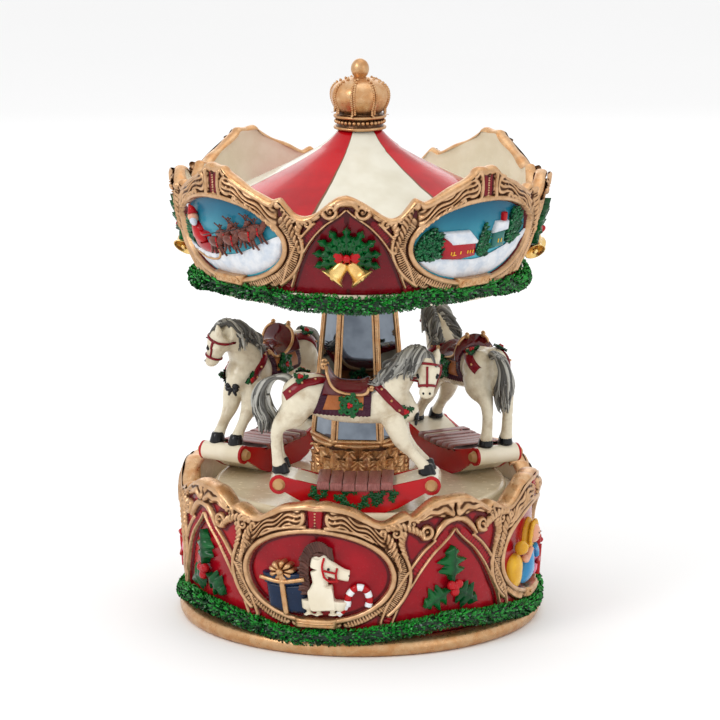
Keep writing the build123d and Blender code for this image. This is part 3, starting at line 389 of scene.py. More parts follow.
# ------------------------------------------------------------------ carved walls
class Relief:
    """Heights above a wall over (u, z) in millimetres, with a gold mask, built up from lines and bosses."""

    def __init__(self, u, z):
        self.u, self.z = u, z
        self.h = np.zeros_like(u)
        self.gold = np.zeros_like(u)

    def put(self, rise, mask, gold):
        take = (mask > 0) & (rise >= self.h - 1e-6)
        self.h = np.where(take, np.maximum(self.h, rise), self.h)
        self.gold = np.where(take, mask * gold, self.gold)

    def line(self, points, width, height, gold=1.0, flat=False, ribs=0, depth=0.3, slant=0.0, smooth=True):
        """Moulding along a line. Half widths and heights are single or along it; ribs cut across it."""
        p = np.asarray(points, float)
        if smooth:
            length = np.sum(np.linalg.norm(np.diff(p, axis=0), axis=1))
            p = curve(p, max(int(length / 0.22), 6))
        at = np.linspace(0, 1, len(p))
        w = np.interp(at, np.linspace(0, 1, np.size(width)), np.ravel(width))
        top = np.interp(at, np.linspace(0, 1, np.size(height)), np.ravel(height))
        reach = w.max() + 0.3
        box = (self.u > p[:, 0].min() - reach) & (self.u < p[:, 0].max() + reach)
        box &= (self.z > p[:, 1].min() - reach) & (self.z < p[:, 1].max() + reach)
        if not box.any():
            return
        q = np.stack([self.u[box], self.z[box]], -1)
        best, pick = np.full(len(q), 1e9), np.zeros(len(q), int)
        for k, (u, z) in enumerate(p):
            d = (q[:, 0] - u) ** 2 + (q[:, 1] - z) ** 2
            near = d < best
            best[near], pick[near] = d[near], k
        d = np.sqrt(best)
        t = d / w[pick]
        shape = np.sqrt(np.clip(1 - t**2, 0, 1)) if not flat else np.clip((1 - t) * 4, 0, 1) ** 0.7
        if ribs:
            along = np.gradient(p, axis=0)[pick]
            away = q - p[pick]
            side = np.sign(along[:, 0] * away[:, 1] - along[:, 1] * away[:, 0]) * t
            shape = shape * (1 - depth * (0.5 + 0.5 * np.cos(FULL * (at[pick] * ribs + slant * side))))
        rise, mask = np.zeros(self.u.shape), np.zeros(self.u.shape)
        rise[box] = top[pick] * shape
        mask[box] = np.clip((w[pick] - d) / 0.25 + 0.5, 0, 1)
        self.put(rise, mask, gold)

    def spiral(self, centre, radius, turns, start, way=1, width=(0.95, 0.45), height=(1.7, 1.1)):
        """Volute that winds in from its outer end and finishes in a small boss."""
        a = np.linspace(0, 1, 40)
        angle = np.radians(start) + way * FULL * turns * a
        r = radius * (1 - 0.78 * a**0.85)
        points = np.stack([centre[0] + r * np.cos(angle), centre[1] + r * np.sin(angle)], -1)
        self.line(points, width, height)
        self.boss(centre, radius * 0.26, height[0])

    def boss(self, centre, radius, height):
        d = np.hypot(self.u - centre[0], self.z - centre[1])
        rise = height * np.sqrt(np.clip(1 - (d / radius) ** 2, 0, 1))
        self.put(rise, np.clip((radius - d) / 0.25 + 0.5, 0, 1), 1.0)

    def lobe(self, low, high, height, strands, sweep=0.55):
        """Leafy swelling between two lines, carved into hair-like strands that follow it."""
        a, b = curve(low, 60), curve(high, 60)
        u0, u1 = min(a[0, 0], b[0, 0]), max(a[-1, 0], b[-1, 0])
        lower = np.interp(self.u, a[:, 0], a[:, 1])
        upper = np.interp(self.u, b[:, 0], b[:, 1])
        s = (self.u - u0) / (u1 - u0)
        t = (self.z - lower) / np.maximum(upper - lower, 0.05)
        inside = (t > 0) & (t < 1) & (s > 0) & (s < 1)
        ends = np.clip(np.minimum(s, 1 - s) * 12, 0, 1) ** 0.5
        shape = np.clip(np.sin(math.pi * np.clip(t, 0, 1)), 0, 1) ** 0.45 * ends
        wave = np.cos(FULL * strands * (t + sweep * s + 0.12 * np.sin(5 * s * math.pi)))
        rise = height * shape * (0.78 + 0.22 * wave)
        self.put(np.where(inside, rise, 0), inside.astype(float), 1.0)

    def sink(self, inside, depth):
        self.h = np.where(inside, depth, self.h)
        self.gold = np.where(inside, 0, self.gold)

    def wash(self):
        """How far each place stands above its neighbourhood, from 0 in a hollow to 1 on a ridge. The paints darken the
        low places: antique glaze together with painted shade.
        """
        blur = self.h.copy()
        for axis in (0, 1):
            total = np.zeros_like(blur)
            for k in range(-5, 6):
                total += np.roll(blur, k, axis)
            blur = total / 11
        return np.clip(0.62 + (self.h - blur) * 1.6, 0, 1)


def ellipse(centre_z, half_width, half_height, start, end):
    """Arc of an ellipse about u = 0; angles in degrees from straight up towards +u."""
    a = np.radians(np.linspace(start, end, 60))
    return np.stack([half_width * np.sin(a), centre_z + half_height * np.cos(a)], -1)


def outline_mask(u, z, right):
    """Inside of a shape that is mirrored about u = 0, from its right side as (half width, height) pairs."""
    right = np.asarray(right, float)
    order = np.argsort(right[:, 1])
    half = np.interp(z, right[order, 1], right[order, 0], left=-1, right=-1)
    return np.abs(u) < half


class Wall:
    """A flared round wall: profile radii by height, and arc lengths measured at one radius."""

    def __init__(self, profile, reference):
        self.r, self.z = np.array(profile, float).T
        self.reference = reference

    def radius(self, z):
        return np.interp(z, self.z, self.r)

    def at(self, azimuth, u, z, h=0.0):
        """Points h millimetres outside the wall, at arc length u from this azimuth."""
        return around(azimuth + np.degrees(np.asarray(u, float) / self.reference), self.radius(z) + h, z)


BASE = Wall([(53.8, 5.2), (54.3, 12.0), (55.2, 26.0), (55.4, 40.0), (55.2, 52.0)], BASE_RADIUS)
CANOPY = Wall([(49, 106), (50.8, 111), (53.8, 120), (56.2, 130), (57.4, 140), (58, 150)], CANOPY_RADIUS)
BASE_QUARTER, CANOPY_QUARTER = BASE_RADIUS * math.pi / 4, CANOPY_RADIUS * math.pi / 4

BASE_OGEE = [(19.8, 8.6), (19.6, 10.6), (17.6, 15.6), (14.2, 21), (11, 26), (7, 31), (3.2, 34.4), (1.2, 36.4), (0, 38)]
CANOPY_OGEE = [(18.6, 112.6), (17.6, 114.6), (15.4, 119.4), (12.6, 124.6), (9.7, 128.6), (6.2, 132.2), (2.2, 135),
               (0, 137)]
BASE_CREST = [(0, 46.4), (3, 46.6), (6, 46.2), (10.5, 45.3), (15, 43.0), (19, 41.2), (22.2, 41.2), (25.5, 42.6),
              (28, 43.4), (30, 42.6), (33, 44.6), (37, 46.6), (40, 47.2), (BASE_QUARTER, 47.5)]
CANOPY_CREST = [(0, 146.9), (3.4, 147.0), (5, 145.6), (8.7, 143.6), (15.3, 140.6), (20.6, 138.2), (22.6, 138.6),
                (24.2, 139.0), (26, 137.0), (28.6, 134.4), (31.4, 133.6), (34.4, 134.6), (37.4, 136.8), (39.6, 138.4),
                (42.2, 139.8), (CANOPY_QUARTER, 140.4)]


def crest(line, quarter, u):
    """Height of a wall's wavy top edge at arc length u, with its mirror images round the rim."""
    points = curve(line, 240)
    folded = np.abs((np.asarray(u, float) + quarter) % (2 * quarter) - quarter)
    return np.interp(folded, points[:, 0], points[:, 1])


def mirrored(points, quarter):
    """The same points counted from the small panel's side."""
    return [(quarter - v, z) for v, z in points]


def oval_frame(r, middle, rim, band, thin, foot, feather, ribs, bar):
    """Round moulding about the big oval, with a feathered band, a thin line and a ribbed bar at its foot."""
    r.line(ellipse(middle, *rim, 0, 180), 1.05, 1.5)
    r.line(ellipse(middle, *band), feather, 1.25, ribs=ribs[0], depth=0.55, flat=True)
    r.line(ellipse(middle, *thin), 0.75, 1.5)
    r.line(bar[:2], 1.5, bar[2], ribs=9, depth=0.35, flat=True)
    r.line(ellipse(middle, *foot), (1.4, 1.2, 0.8), 1.35, ribs=ribs[1], depth=0.35, flat=True)


def crest_boss_row(r, low, high, step, height):
    for z in np.arange(low, high, step):
        r.boss((0, z), 0.34, height)


def ogee_frame(r, q, ogee, outer, strip, ribs, foot):
    """Pointed frame of the small panel: two thin mouldings with a ribbed red strip between them."""
    (far_u, far_z), (near_u, near_z, width, last) = outer, strip
    r.line(mirrored([(w + far_u, z + far_z) for w, z in ogee[:-2]], q), 0.55, 1.3)
    between = mirrored([(w + near_u, z + near_z) for w, z in ogee[:last]], q)
    r.line(between, width, 0.55, gold=0.0, flat=True, ribs=ribs, depth=0.45)
    r.line(mirrored([(w + 0.3, z) for w, z in ogee], q), 0.45, 1.15)
    r.sink(outline_mask(q - r.u, r.z, [(w - 0.2, z) for w, z in ogee] + [foot]), -0.8)


def finish_panels(r, q, middle, half, line):
    """Sinks the big oval and lays the rope along the wall's top edge."""
    r.sink((r.u / half[0]) ** 2 + ((r.z - middle) / half[1]) ** 2 < 1, -1.0)
    u = np.linspace(0, q, 200)
    r.line(np.stack([u, crest(line, q, u) - 0.7], -1), 1.0, 1.1, smooth=False)


def carve_canopy(r):
    q = CANOPY_QUARTER
    oval_frame(r, CANOPY_OVAL_Z, (25.3, 13.1), (28.4, 15.8, 62, 138), (31.0, 17.6, 70, 134), (27.6, 14.7, 160, 128),
               1.9, (34, 14), [(0, 111.2), (7.2, 111.4), 1.35])
    low = [(3.2, 139.2), (8, 138.6), (14, 136.4), (19, 133.2), (23.6, 129.4)]
    high = [(3.2, 146.0), (8, 143.2), (14, 140.4), (19, 138.0), (23.6, 136.6)]
    r.lobe(low, high, 2.0, 3.2)
    r.spiral((6.3, 141.7), 3.0, 1.6, 90, 1)
    r.line([(3.0, 146.0), (2.6, 142), (3.0, 139)], 0.6, 1.9)
    r.line([(0, 138.4), (0, 147)], 1.9, 0.7, gold=0.0, flat=True)
    crest_boss_row(r, 139.4, 145.6, 0.75, 1.35)
    for points, width, height, ribs, slant, depth in (
        ([(9, 138.6), (15, 136.0), (20, 132.4), (24.4, 128.4)], (0.9, 0.7, 0.5), 2.2, 9, 0.6, 0.3),
        ([(26.5, 136.6), (27.4, 132.4), (28.9, 128.2), (30.2, 124.0)], (1.9, 1.5, 1.2, 0.8), 2.2, 8, 0.7, 0.35),
        ([(30.8, 132.8), (30.0, 130.2), (31.2, 127.4)], (1.5, 1.1, 0.5), 2.0, 4, -0.6, 0.3),
    ):
        r.line(points, width, height, ribs=ribs, slant=slant, depth=depth)
    r.spiral((28.6, 134.0), 1.7, 1.2, 60, 1)
    r.spiral((33.0, 132.6), 1.6, 1.3, 160, -1)
    r.boss((24.2, 138.0), 1.5, 2.4)
    r.line(mirrored([(12.4, 133.6), (9.4, 136.0), (6.4, 137.4)], q), (1.3, 1.2, 1.0), 2.0, ribs=6, slant=0.5)
    r.spiral((q - 4.6, 136.6), 2.2, 1.4, 200, 1, (1.0, 0.5), (2.3, 1.3))
    r.line(mirrored([(0, 139.4), (2.2, 138.8), (3.4, 137.2)], q), (1.4, 1.1, 0.8), 2.2)
    ogee_frame(r, q, CANOPY_OGEE, (3.5, 0.6), (1.9, 0.3, 1.2, -2), 26, (19.6, 106))
    finish_panels(r, q, CANOPY_OVAL_Z, (24.4, 12.2), CANOPY_CREST)


def carve_base(r):
    q = BASE_QUARTER
    oval_frame(r, BASE_OVAL_Z, (23.7, 14.3), (26.4, 16.8, 58, 130), (28.8, 18.6, 66, 130), (25.6, 15.8, 158, 128),
               1.7, (40, 12), [(0, 9.6), (6.6, 9.8), 1.4])
    r.line([(3.2, 40.0), (8, 39.6), (13, 38.4), (17.5, 36.2)], 0.7, 1.6)
    low = [(3.4, 39.8), (8, 39.4), (13, 38.0), (17.5, 35.6), (21.5, 32.8)]
    high = [(3.4, 45.4), (8, 44.8), (13, 42.8), (17.5, 40.6), (21.5, 38.4)]
    r.lobe(low, high, 2.1, 3.6)
    r.spiral((6.2, 42.4), 2.7, 1.5, 150, 1)
    r.line([(0, 38.4), (0, 46.8)], (2.1, 2.3, 2.9), 0.8, gold=0.0, flat=True)
    crest_boss_row(r, 39.6, 45.0, 0.95, 1.25)
    for points, width, height, ribs, slant, depth in (
        ([(20.4, 38.6), (22.8, 35.4), (24.2, 31.4), (25.6, 27.0)], (1.5, 1.6, 1.2, 0.7), 2.0, 8, 0.7, 0.35),
        ([(26.4, 38.0), (26.0, 34.6), (27.6, 30.8)], (1.5, 1.2, 0.5), 1.9, 5, -0.6, 0.3),
        ([(22.0, 40.0), (26.0, 40.4), (30.0, 39.0), (33.4, 36.4)], (1.2, 1.5, 1.4, 0.8), 2.1, 9, 0.5, 0.3),
    ):
        r.line(points, width, height, ribs=ribs, slant=slant, depth=depth)
    r.spiral((24.4, 38.4), 1.9, 1.3, 120, -1)
    r.spiral((33.6, 38.4), 2.1, 1.4, 250, 1, (1.0, 0.5), (2.4, 1.3))
    r.spiral((29.4, 41.2), 1.5, 1.2, 20, 1)
    low = [(30.4, 41.0), (33, 41.6), (36, 42.4), (39, 42.0), (q, 40.9)]
    high = [(30.4, 42.4), (33, 44.4), (36, 46.0), (39, 46.8), (q, 47.2)]
    r.lobe(low, high, 2.1, 1.6, 0.3)
    r.line(mirrored([(0, 41.4), (3, 40.8), (5.6, 38.6), (7.4, 36.0)], q), (1.0, 1.2, 1.0, 0.6), 1.9)
    ogee_frame(r, q, BASE_OGEE, (3.7, 0.8), (2.0, 0.4, 1.25, -1), 30, (20.4, 5))
    finish_panels(r, q, BASE_OVAL_Z, (22.8, 13.4), BASE_CREST)


def carved(name, ground, shade, dark):
    """Lacquered wall with gilded carving, told apart by the tint values. Gilt and red both darken in the hollows:
    antique glaze together with painted shade.
    """
    p = Paint(name, coat=0.12, spec=0.2)
    gold = p.ramp(p.attribute("tint"), 0.42, 0.58)
    # gilt goes dark brown and red goes darker in the hollows: glaze together with painted shade
    dark_glaze_and_shade = p.math("ADD", p.attribute("wash"), p.math("MULTIPLY", p.noise(0.9, 5, 0.65), 0.45))
    gilt = p.blotch(3.0, 3, 0.35, 0.7, (0.64, 0.40, 0.225), (0.50, 0.29, 0.145))
    gilt = p.mix(p.ramp(dark_glaze_and_shade, 0.46, 1.0, 1.0, 0.0), gilt, (0.075, 0.028, 0.010))
    red = p.blotch(9.0, 4, 0.35, 0.68, ground, shade)
    red = p.mix(p.ramp(p.attribute("wash"), 0.1, 0.6, 1.0, 0.0), red, dark)
    p.colour(p.mix(gold, red, gilt))
    p.fill(p.bsdf, {"Metallic": p.math("MULTIPLY", gold, 0.85)})
    p.rough(p.math("ADD", p.math("MULTIPLY", gold, 0.14), p.ramp(p.noise(1.3, 3), 0.3, 0.7, 0.16, 0.28)))
    p.bump(p.noise(0.8, 4, 0.6), 0.10, 0.3)
    return p.m


def wall_piece(name, wall, quarter, line, carve, low, azimuth, body, material, node):
    """One quarter of a carved wall, from low up to its crest line and from one small panel's middle to the next."""
    n, m = int(quarter / 0.2), 190
    u = np.linspace(0, quarter, n)[:, None] + np.zeros((1, m))
    z = low + (crest(line, quarter, u) - low) * np.linspace(0, 1, m)[None, :]
    r = Relief(u, z)
    carve(r)
    wash = r.wash()
    u = np.concatenate([-u[:0:-1], u])
    z, h, w, g = (np.concatenate([a[:0:-1], a]) for a in (z, r.h, wash, r.gold))
    form = Form()
    form.grid(wall.at(azimuth, u, z, h), 0, w, g)
    form.build(name, [material], body, [node], "painted_resin_red")


BASE_PAINT = carved("base_paint", (0.35, 0.002, 0.010), (0.26, 0.002, 0.008), (0.10, 0.001, 0.003))
CANOPY_PAINT = carved("canopy_paint", (0.19, 0.002, 0.008), (0.14, 0.001, 0.006), (0.07, 0.001, 0.003))
for k, side in enumerate(QUARTERS):
    wall_piece(f"base_wall_{side}", BASE, BASE_QUARTER, BASE_CREST, carve_base, 5.2, 90 * k, "base", BASE_PAINT,
               "base_shell")
    wall_piece(f"canopy_wall_{side}", CANOPY, CANOPY_QUARTER, CANOPY_CREST, carve_canopy, 106.0, 90 * k + CANOPY_TURN,
               "carousel", CANOPY_PAINT, "canopy_shell")


def rim_and_lining(wall, line, quarter, azimuth, thickness, name, body, node, profile_below):
    """Rounded gilded top edge and the cream inside of a wall, with everything below it as one profile."""
    u = np.linspace(0, 8 * quarter, 900, endpoint=False)
    z = crest(line, quarter, u)
    form = Form()
    turn = np.linspace(0, math.pi, 9)
    swell = 0.22 * np.sin(u * 0.55)[:, None]
    r = -thickness / 2 + (thickness / 2 + 0.5 + swell) * np.cos(turn)[None, :]
    top = z[:, None] - 0.35 + (1.15 + swell) * np.sin(turn)[None, :]
    # darker where the rim dips, lighter on its swellings: glaze together with painted shade
    wash = np.clip(0.8 + 0.15 * np.sin(u * 0.55)[:, None] + 0 * top, 0, 1)
    form.grid(wall.at(azimuth, u[:, None] + 0 * top, top, r), 0, wash, 1.0, loop_u=True)
    inner_low = profile_below[0][1]
    t = np.linspace(0, 1, 14)[None, :]
    down = (z[:, None] - 0.35) + (inner_low - z[:, None] + 0.35) * t
    form.grid(wall.at(azimuth, u[:, None] + 0 * down, down, -thickness - 0.3 * (t < 0.03)), 1, 1.0, 0.0, loop_u=True)
    below = np.array(profile_below, float)
    around_u = np.degrees(u / wall.reference)[:, None] + azimuth
    form.grid(around(around_u, below[None, :, 0], below[None, :, 1] + 0 * around_u), 1, 1.0, 0.0, loop_u=True)
    form.build(name, [GOLD, CREAM], body, [node], "cream_resin")


rim_and_lining(CANOPY, CANOPY_CREST, CANOPY_QUARTER, CANOPY_TURN, 2.8, "canopy_lining", "carousel", "canopy_shell",
               [(52.6, 126.0), (50.9, 125.5), (50.0, 122.4), (50.6, 120.0), (48.0, 111.0), (46.8, 108.5), (2.0, 108.5),
                (1.6, 105.95), (49.2, 105.95), (49.5, 106.4), (50.2, 108.0), (50.9, 110.2), (50.4, 110.4)])
rim_and_lining(BASE, BASE_CREST, BASE_QUARTER, 0.0, 4.6, "base_lining", "base", "base_shell",
               [(50.6, 37.4), (3.0, 37.4), (3.0, 35.6), (50.6, 35.6), (50.6, 2.8), (50.5, 0.4), (50.9, 0.0)])

plinth = Form()
turned(plinth, [(50.9, 0), (55.4, 0), (56.4, 0.5), (57.0, 1.6), (57.1, 2.8), (56.6, 4.0), (55.4, 4.9), (53.8, 5.4)])
plinth.build("base_plinth", [SOFT_GOLD], "base", ["base_shell"], slot="antique_gold")


# ------------------------------------------------------------------ rocking horse, modelled once
def melt(form, voxel=0.42, rounds=10):
    """Fuses overlapping shapes into one smooth skin and returns its points and faces in millimetres."""
    mesh = bpy.data.meshes.new("melting")
    mesh.from_pydata(np.concatenate(form.points).tolist(), [], np.concatenate(form.quads).tolist())
    mesh.validate()
    lump = bpy.data.objects.new("melting", mesh)
    objects.link(lump)
    remesh = lump.modifiers.new("remesh", "REMESH")
    remesh.mode, remesh.voxel_size = "VOXEL", voxel
    relax = lump.modifiers.new("relax", "SMOOTH")
    relax.factor, relax.iterations = 0.6, rounds
    result = lump.evaluated_get(bpy.context.evaluated_depsgraph_get())
    skin = bpy.data.meshes.new_from_object(result)
    bpy.data.objects.remove(lump)
    points = np.empty(len(skin.vertices) * 3)
    skin.vertices.foreach_get("co", points)
    faces = [tuple(p.vertices) for p in skin.polygons]
    quads = np.array([f if len(f) == 4 else (*f, f[-1]) for f in faces])
    bpy.data.meshes.remove(skin)
    return points.reshape(-1, 3), quads


flesh = Form()
flesh.limb([(-19, 0, 35.2), (-14, 0, 35.4), (-6, 0, 32.8), (2, 0, 32.2), (9, 0, 32.4), (14, 0, 31.6)], 30,
           [0, 0.16, 0.4, 0.65, 0.85, 1], [4.8, 6.3, 6.0, 6.1, 6.3, 4.6], sides=20)
flesh.ball((11.6, 0, 31.6), 6.4, stretch=(1.0, 0.9, 1.02), rings=14, sides=20)
flesh.ball((15.6, 0, 30.2), 3.6, rings=12, sides=16)
for y in (-1, 1):
    flesh.ball((-16.4, 2.6 * y, 34.8), 5.9, stretch=(1.05, 0.85, 1.1), rings=14, sides=20)
    flesh.limb([(-17.2, 3.4 * y, 33), (-19.2, 3.8 * y, 29.4), (-22.8, 3.7 * y, 26.2), (-24.0, 3.6 * y, 22.5),
                (-23.8, 3.6 * y, 17.0), (-23.2, 3.6 * y, 13.4)], 34,
               [0, 0.18, 0.36, 0.5, 0.72, 0.9, 1], [4.9, 4.5, 2.9, 2.0, 1.7, 1.8, 2.3], sides=14)
    flesh.limb([(11.0, 3.0 * y, 29.4), (12.8, 3.5 * y, 24.8), (14.4, 3.5 * y, 21.0), (17.6, 3.5 * y, 17.3),
                (20.0, 3.5 * y, 14.6), (21.0, 3.5 * y, 13.2)], 34,
               [0, 0.25, 0.48, 0.7, 0.9, 1], [4.0, 3.4, 2.5, 1.7, 1.7, 2.1], sides=14)
flesh.limb([(8.5, 0, 34), (11.6, 0, 38.6), (14.8, -0.2, 42.6), (18.4, -0.5, 45.4), (20.8, -1.0, 46.0)], 24,
           [0, 0.35, 0.7, 1], [6.2, 5.1, 4.1, 3.5], sides=18)
flesh.limb([(21.2, -1.2, 45.8), (21.8, -2.6, 43.2), (21.8, -3.9, 40.4), (21.6, -4.9, 37.8), (21.4, -5.4, 36.6)], 20,
           [0, 0.3, 0.55, 0.85, 1], [3.9, 3.9, 3.0, 2.3, 2.0], sides=18)
flesh.ball((21.5, -5.6, 36.9), 2.3, stretch=(1.05, 0.9, 0.85), rings=10, sides=14)
flesh.ball((24.0, -1.6, 42.6), 2.0, rings=10, sides=12)
flesh.ball((19.2, -1.8, 41.8), 2.0, rings=10, sides=12)
for x, y in ((24.2, -0.6), (18.6, -1.8)):
    lean = (x - 21) / 3
    ear = [(x, y, 46.0), (x + 0.4 * lean, y - 0.3, 48.0), (x + 0.7 * lean, y - 0.4, 49.9)]
    flesh.tube(ear, (1.5, 1.2, 0.3), sides=10)
skin_points, skin_quads = melt(flesh)
skin_tree = BVHTree.FromPolygons(skin_points.tolist(), skin_quads.tolist())


def hit(origin, direction, lift=0.0, reach=14.0):
    """Point of the horse's skin this way from inside, looked for within reach and moved outward by lift."""
    direction = np.asarray(direction, float)
    direction = direction / np.linalg.norm(direction)
    found = skin_tree.ray_cast(Vector(np.asarray(origin, float) + direction * reach), Vector(-direction))
    place = np.array(found[0]) if found[0] is not None else np.asarray(origin, float) + direction * min(reach, 5)
    return place + direction * lift


def girth(x, angle, lift=0.0):
    """Point on the trunk at x and an angle in degrees from straight up towards the outer side."""
    a = math.radians(angle)
    return hit((x, 0, 32.4), (0, -math.sin(a), math.cos(a)), lift)


TRUNK = np.array((0.0, 0.0, 32.4))
AHEAD = np.array((1.0, 0.0, 0.0))


def strap(points, width, kind, lift):
    """Flat band that follows the skin through (x, angle) points."""
    line = curve(points, 26)
    middle = np.array([girth(x, a, lift) for x, a in line])
    out = unit(middle - TRUNK - line[:, :1] * AHEAD)
    side = unit(np.cross(np.gradient(middle, axis=0), out))
    section = ((-1, -0.7), (-1, 0.0), (-0.6, 0.28), (0.6, 0.28), (1, 0.0), (1, -0.7))
    horse.grid(np.stack([middle + side * width / 2 * t + out * h for t, h in section], 1), kind)


horse = Form()
horse.patch(skin_points, skin_quads, 0)
for x, y, drop in ((-23.0, -3.6, 0), (-23.0, 3.6, 0), (21.4, -3.5, 0.2), (21.4, 3.5, 0.2)):
    turn = circle(20)[None, :]
    wide = np.array([0, 1.9, 2.15, 2.35, 2.7, 2.75, 2.5, 0])[:, None]
    tall = np.array([14.5, 14.5, 14.2, 13.4, 12.0, 11.5, 11.25, 11.25])[:, None] - drop
    hoof = x + 0.12 * (14.5 - tall) + wide * np.cos(turn), y + 0.85 * wide * np.sin(turn), tall + 0 * turn
    horse.grid(np.stack(hoof, -1), 1, loop_v=True, flip=True)
for way in (-1, 1):
    spot = hit((21.7, -2.2, 41.5), (0.9 * way, -0.8, 0.05), -0.1, 6.0)
    horse.ball(spot, 0.72, 1, rings=8, sides=10)
    horse.tube(curve([spot + (-0.8, 0.1, 0.35), spot + (0, -0.2, 0.85), spot + (0.8, 0.1, 0.35)], 8), 0.2, 1, 6)
for x in (20.6, 22.5):
    horse.ball((x, -7.2, 37.0), 0.42, 1, rings=6, sides=8)

# mane and tail: overlapping locks
roots = curve([(21.5, -2.2, 48.4), (18.5, -0.6, 49.6), (15.0, 0.0, 48.2), (11.6, 0.2, 45.0), (8.6, 0.3, 41.4),
               (6.0, 0.3, 38.4)], 40)
for side in (-1, 1):
    for k, root in enumerate(roots[2:]):
        s = k / 37
        wave = rng.normal(0, 0.35, 3)
        reach = 7.4 - 1.4 * s + rng.normal(0, 0.6)
        tip = root + (-3.2 - 1.6 * s, side * (4.8 - 0.7 * s), -reach)
        mid = root + (-1.4, side * (4.2 - 0.5 * s), -reach * 0.36)
        for strand in range(3):
            stray = rng.normal(0, 0.42, 3)
            bend = np.array([math.sin(k * 1.3 + strand), 0.0, math.cos(k * 1.7)]) * 0.7
            line = [root + (0.6, 0, -0.6), root + (0.1, side * 1.6, 0.5) + stray * 0.3, mid + wave + bend + stray * 0.6,
                    (mid + tip) / 2 - bend * 0.8 + stray * 0.8, tip + wave * 1.5 + bend + stray]
            horse.limb(line, 18, [0, 0.3, 0.8, 1], [0.4, 0.5, 0.4, 0.1], 2, sides=7,
                       wash=rng.uniform(0.2, 1.0), tint=rng.uniform(0, 1))
for k in range(9):
    a = rng.normal(0, 1.3)
    line = [(20.6, -1.0, 49.0), (21.8 + a * 0.5, -3.4, 47.8), (22.0 + a, -4.9, 45.0),
            (22.2 + a * 1.3, -5.2, 43.0 + abs(a))]
    horse.limb(line, 12, [0, 0.4, 1], [0.6, 0.8, 0.15], 2, wash=rng.uniform(0.2, 1), tint=rng.uniform(0, 1))
spine = curve([(-19.2, 0, 38.6), (-22.2, 0, 40.4), (-26.2, 0, 39.4), (-28.6, 0, 35.6), (-28.4, 0, 31.0),
               (-26.8, 0, 27.0), (-27.4, 0, 22.8)], 30)
spread = np.interp(np.linspace(0, 1, 30), [0, 0.3, 0.6, 0.85, 1], [0.9, 2.4, 3.3, 3.2, 1.2])
for k in range(120):
    a = rng.uniform(0, FULL)
    f = rng.uniform(0.2, 1.0)
    twist = a + np.linspace(0, 1.4, 30)
    end = 30 - rng.integers(0, 9)
    way = np.stack([np.cos(twist), 0.75 * np.sin(twist), 0.35 * np.cos(twist)], -1)
    sway = 0.8 * np.sin(np.linspace(0, 2.6 * math.pi, end) + a) * np.linspace(0, 1, end)
    line = (spine + way * spread[:, None] * f)[:end] + sway[:, None] * (1, 0.4, 0)
    radii = np.interp(np.linspace(0, 1, end), [0, 0.3, 0.75, 1], [0.42, 0.52, 0.42, 0.1])
    horse.tube(line, radii, 2, 7, wash=rng.uniform(0.15, 1.0), tint=rng.uniform(0, 1))

# harness
for way in (-1, 1):
    strap([(-8.6, 14 * way), (-13, 30 * way), (-18, 48 * way), (-21.4, 62 * way)], 2.9, 3, 0.35)
    strap([(5.4, 22 * way), (8.6, 52 * way), (12.2, 84 * way), (15.2, 118 * way)], 2.4, 3, 0.4)
    for x, a in ((-12, 27), (-16, 41), (-19.6, 55), (8.0, 46), (11.0, 72), (13.4, 98)):
        horse.ball(girth(x, a * way, 0.75), 0.42, 4, rings=6, sides=8)


def ring(centre, axis, reach):
    """Strap round the head, hugging the skin."""
    axis = unit(np.asarray(axis, float))
    first = unit(np.cross(axis, AHEAD))
    second = np.cross(axis, first)
    turns = np.radians(np.linspace(0, 354, 30))
    line = [hit(centre, first * math.cos(a) + second * math.sin(a), 0.12, reach) for a in turns]
    horse.tube(line, 0.42, 3, 8)


ring((21.7, -2.0, 44.6), (0.1, 0.35, 1), 5.2)
ring((21.6, -4.4, 38.6), (0.0, 0.35, 1), 2.9)
for aim in ((0, -1, 0.1), (1, 0.05, 0), (-1, 0.05, 0)):
    line = [hit((21.7, -2.0 - 2.4 * t, 44.6 - 6.0 * t), aim, 0.1, 5.2) for t in np.linspace(0, 1, 14)]
    horse.tube(line, 0.38, 3, 8)

# blanket, saddle and gilt rim
def blanket(inset, lift, kind, limit, bulge=lambda x, a: 0.0):
    """Cloth over the back, down to limit degrees on each side, with its edges tucked into the skin."""
    rows = []
    for a in np.linspace(-limit, limit, 150):
        f = np.clip((abs(a) - 30) / 90, 0, 1)
        low, high = -9.6 - 3.6 * f + inset, 5.2 - 0.4 * f - inset
        line = []
        for s in np.linspace(0, 1, 60):
            x = low + (high - low) * s
            border = s in (0, 1) or abs(a) >= limit - 1e-6
            line.append(girth(x, a, -0.6 if border else lift + bulge(x, a)))
        rows.append(line)
    horse.grid(np.array(rows), kind)


def ribs(x, a):
    return 0.2 * math.cos(a * 1.1) if abs(a) < 100 else 0.2 * math.cos(x * 5.2)


def seat(x, a):
    c = max(math.cos(math.radians(a) * 1.25), 0)
    back = 3.6 * math.exp(-(((x + 9.4) / 2.2) ** 2))
    front = 0.9 * math.exp(-(((x - 3.6) / 1.5) ** 2))
    return (back + front) * c**1.4 + 0.25 * c


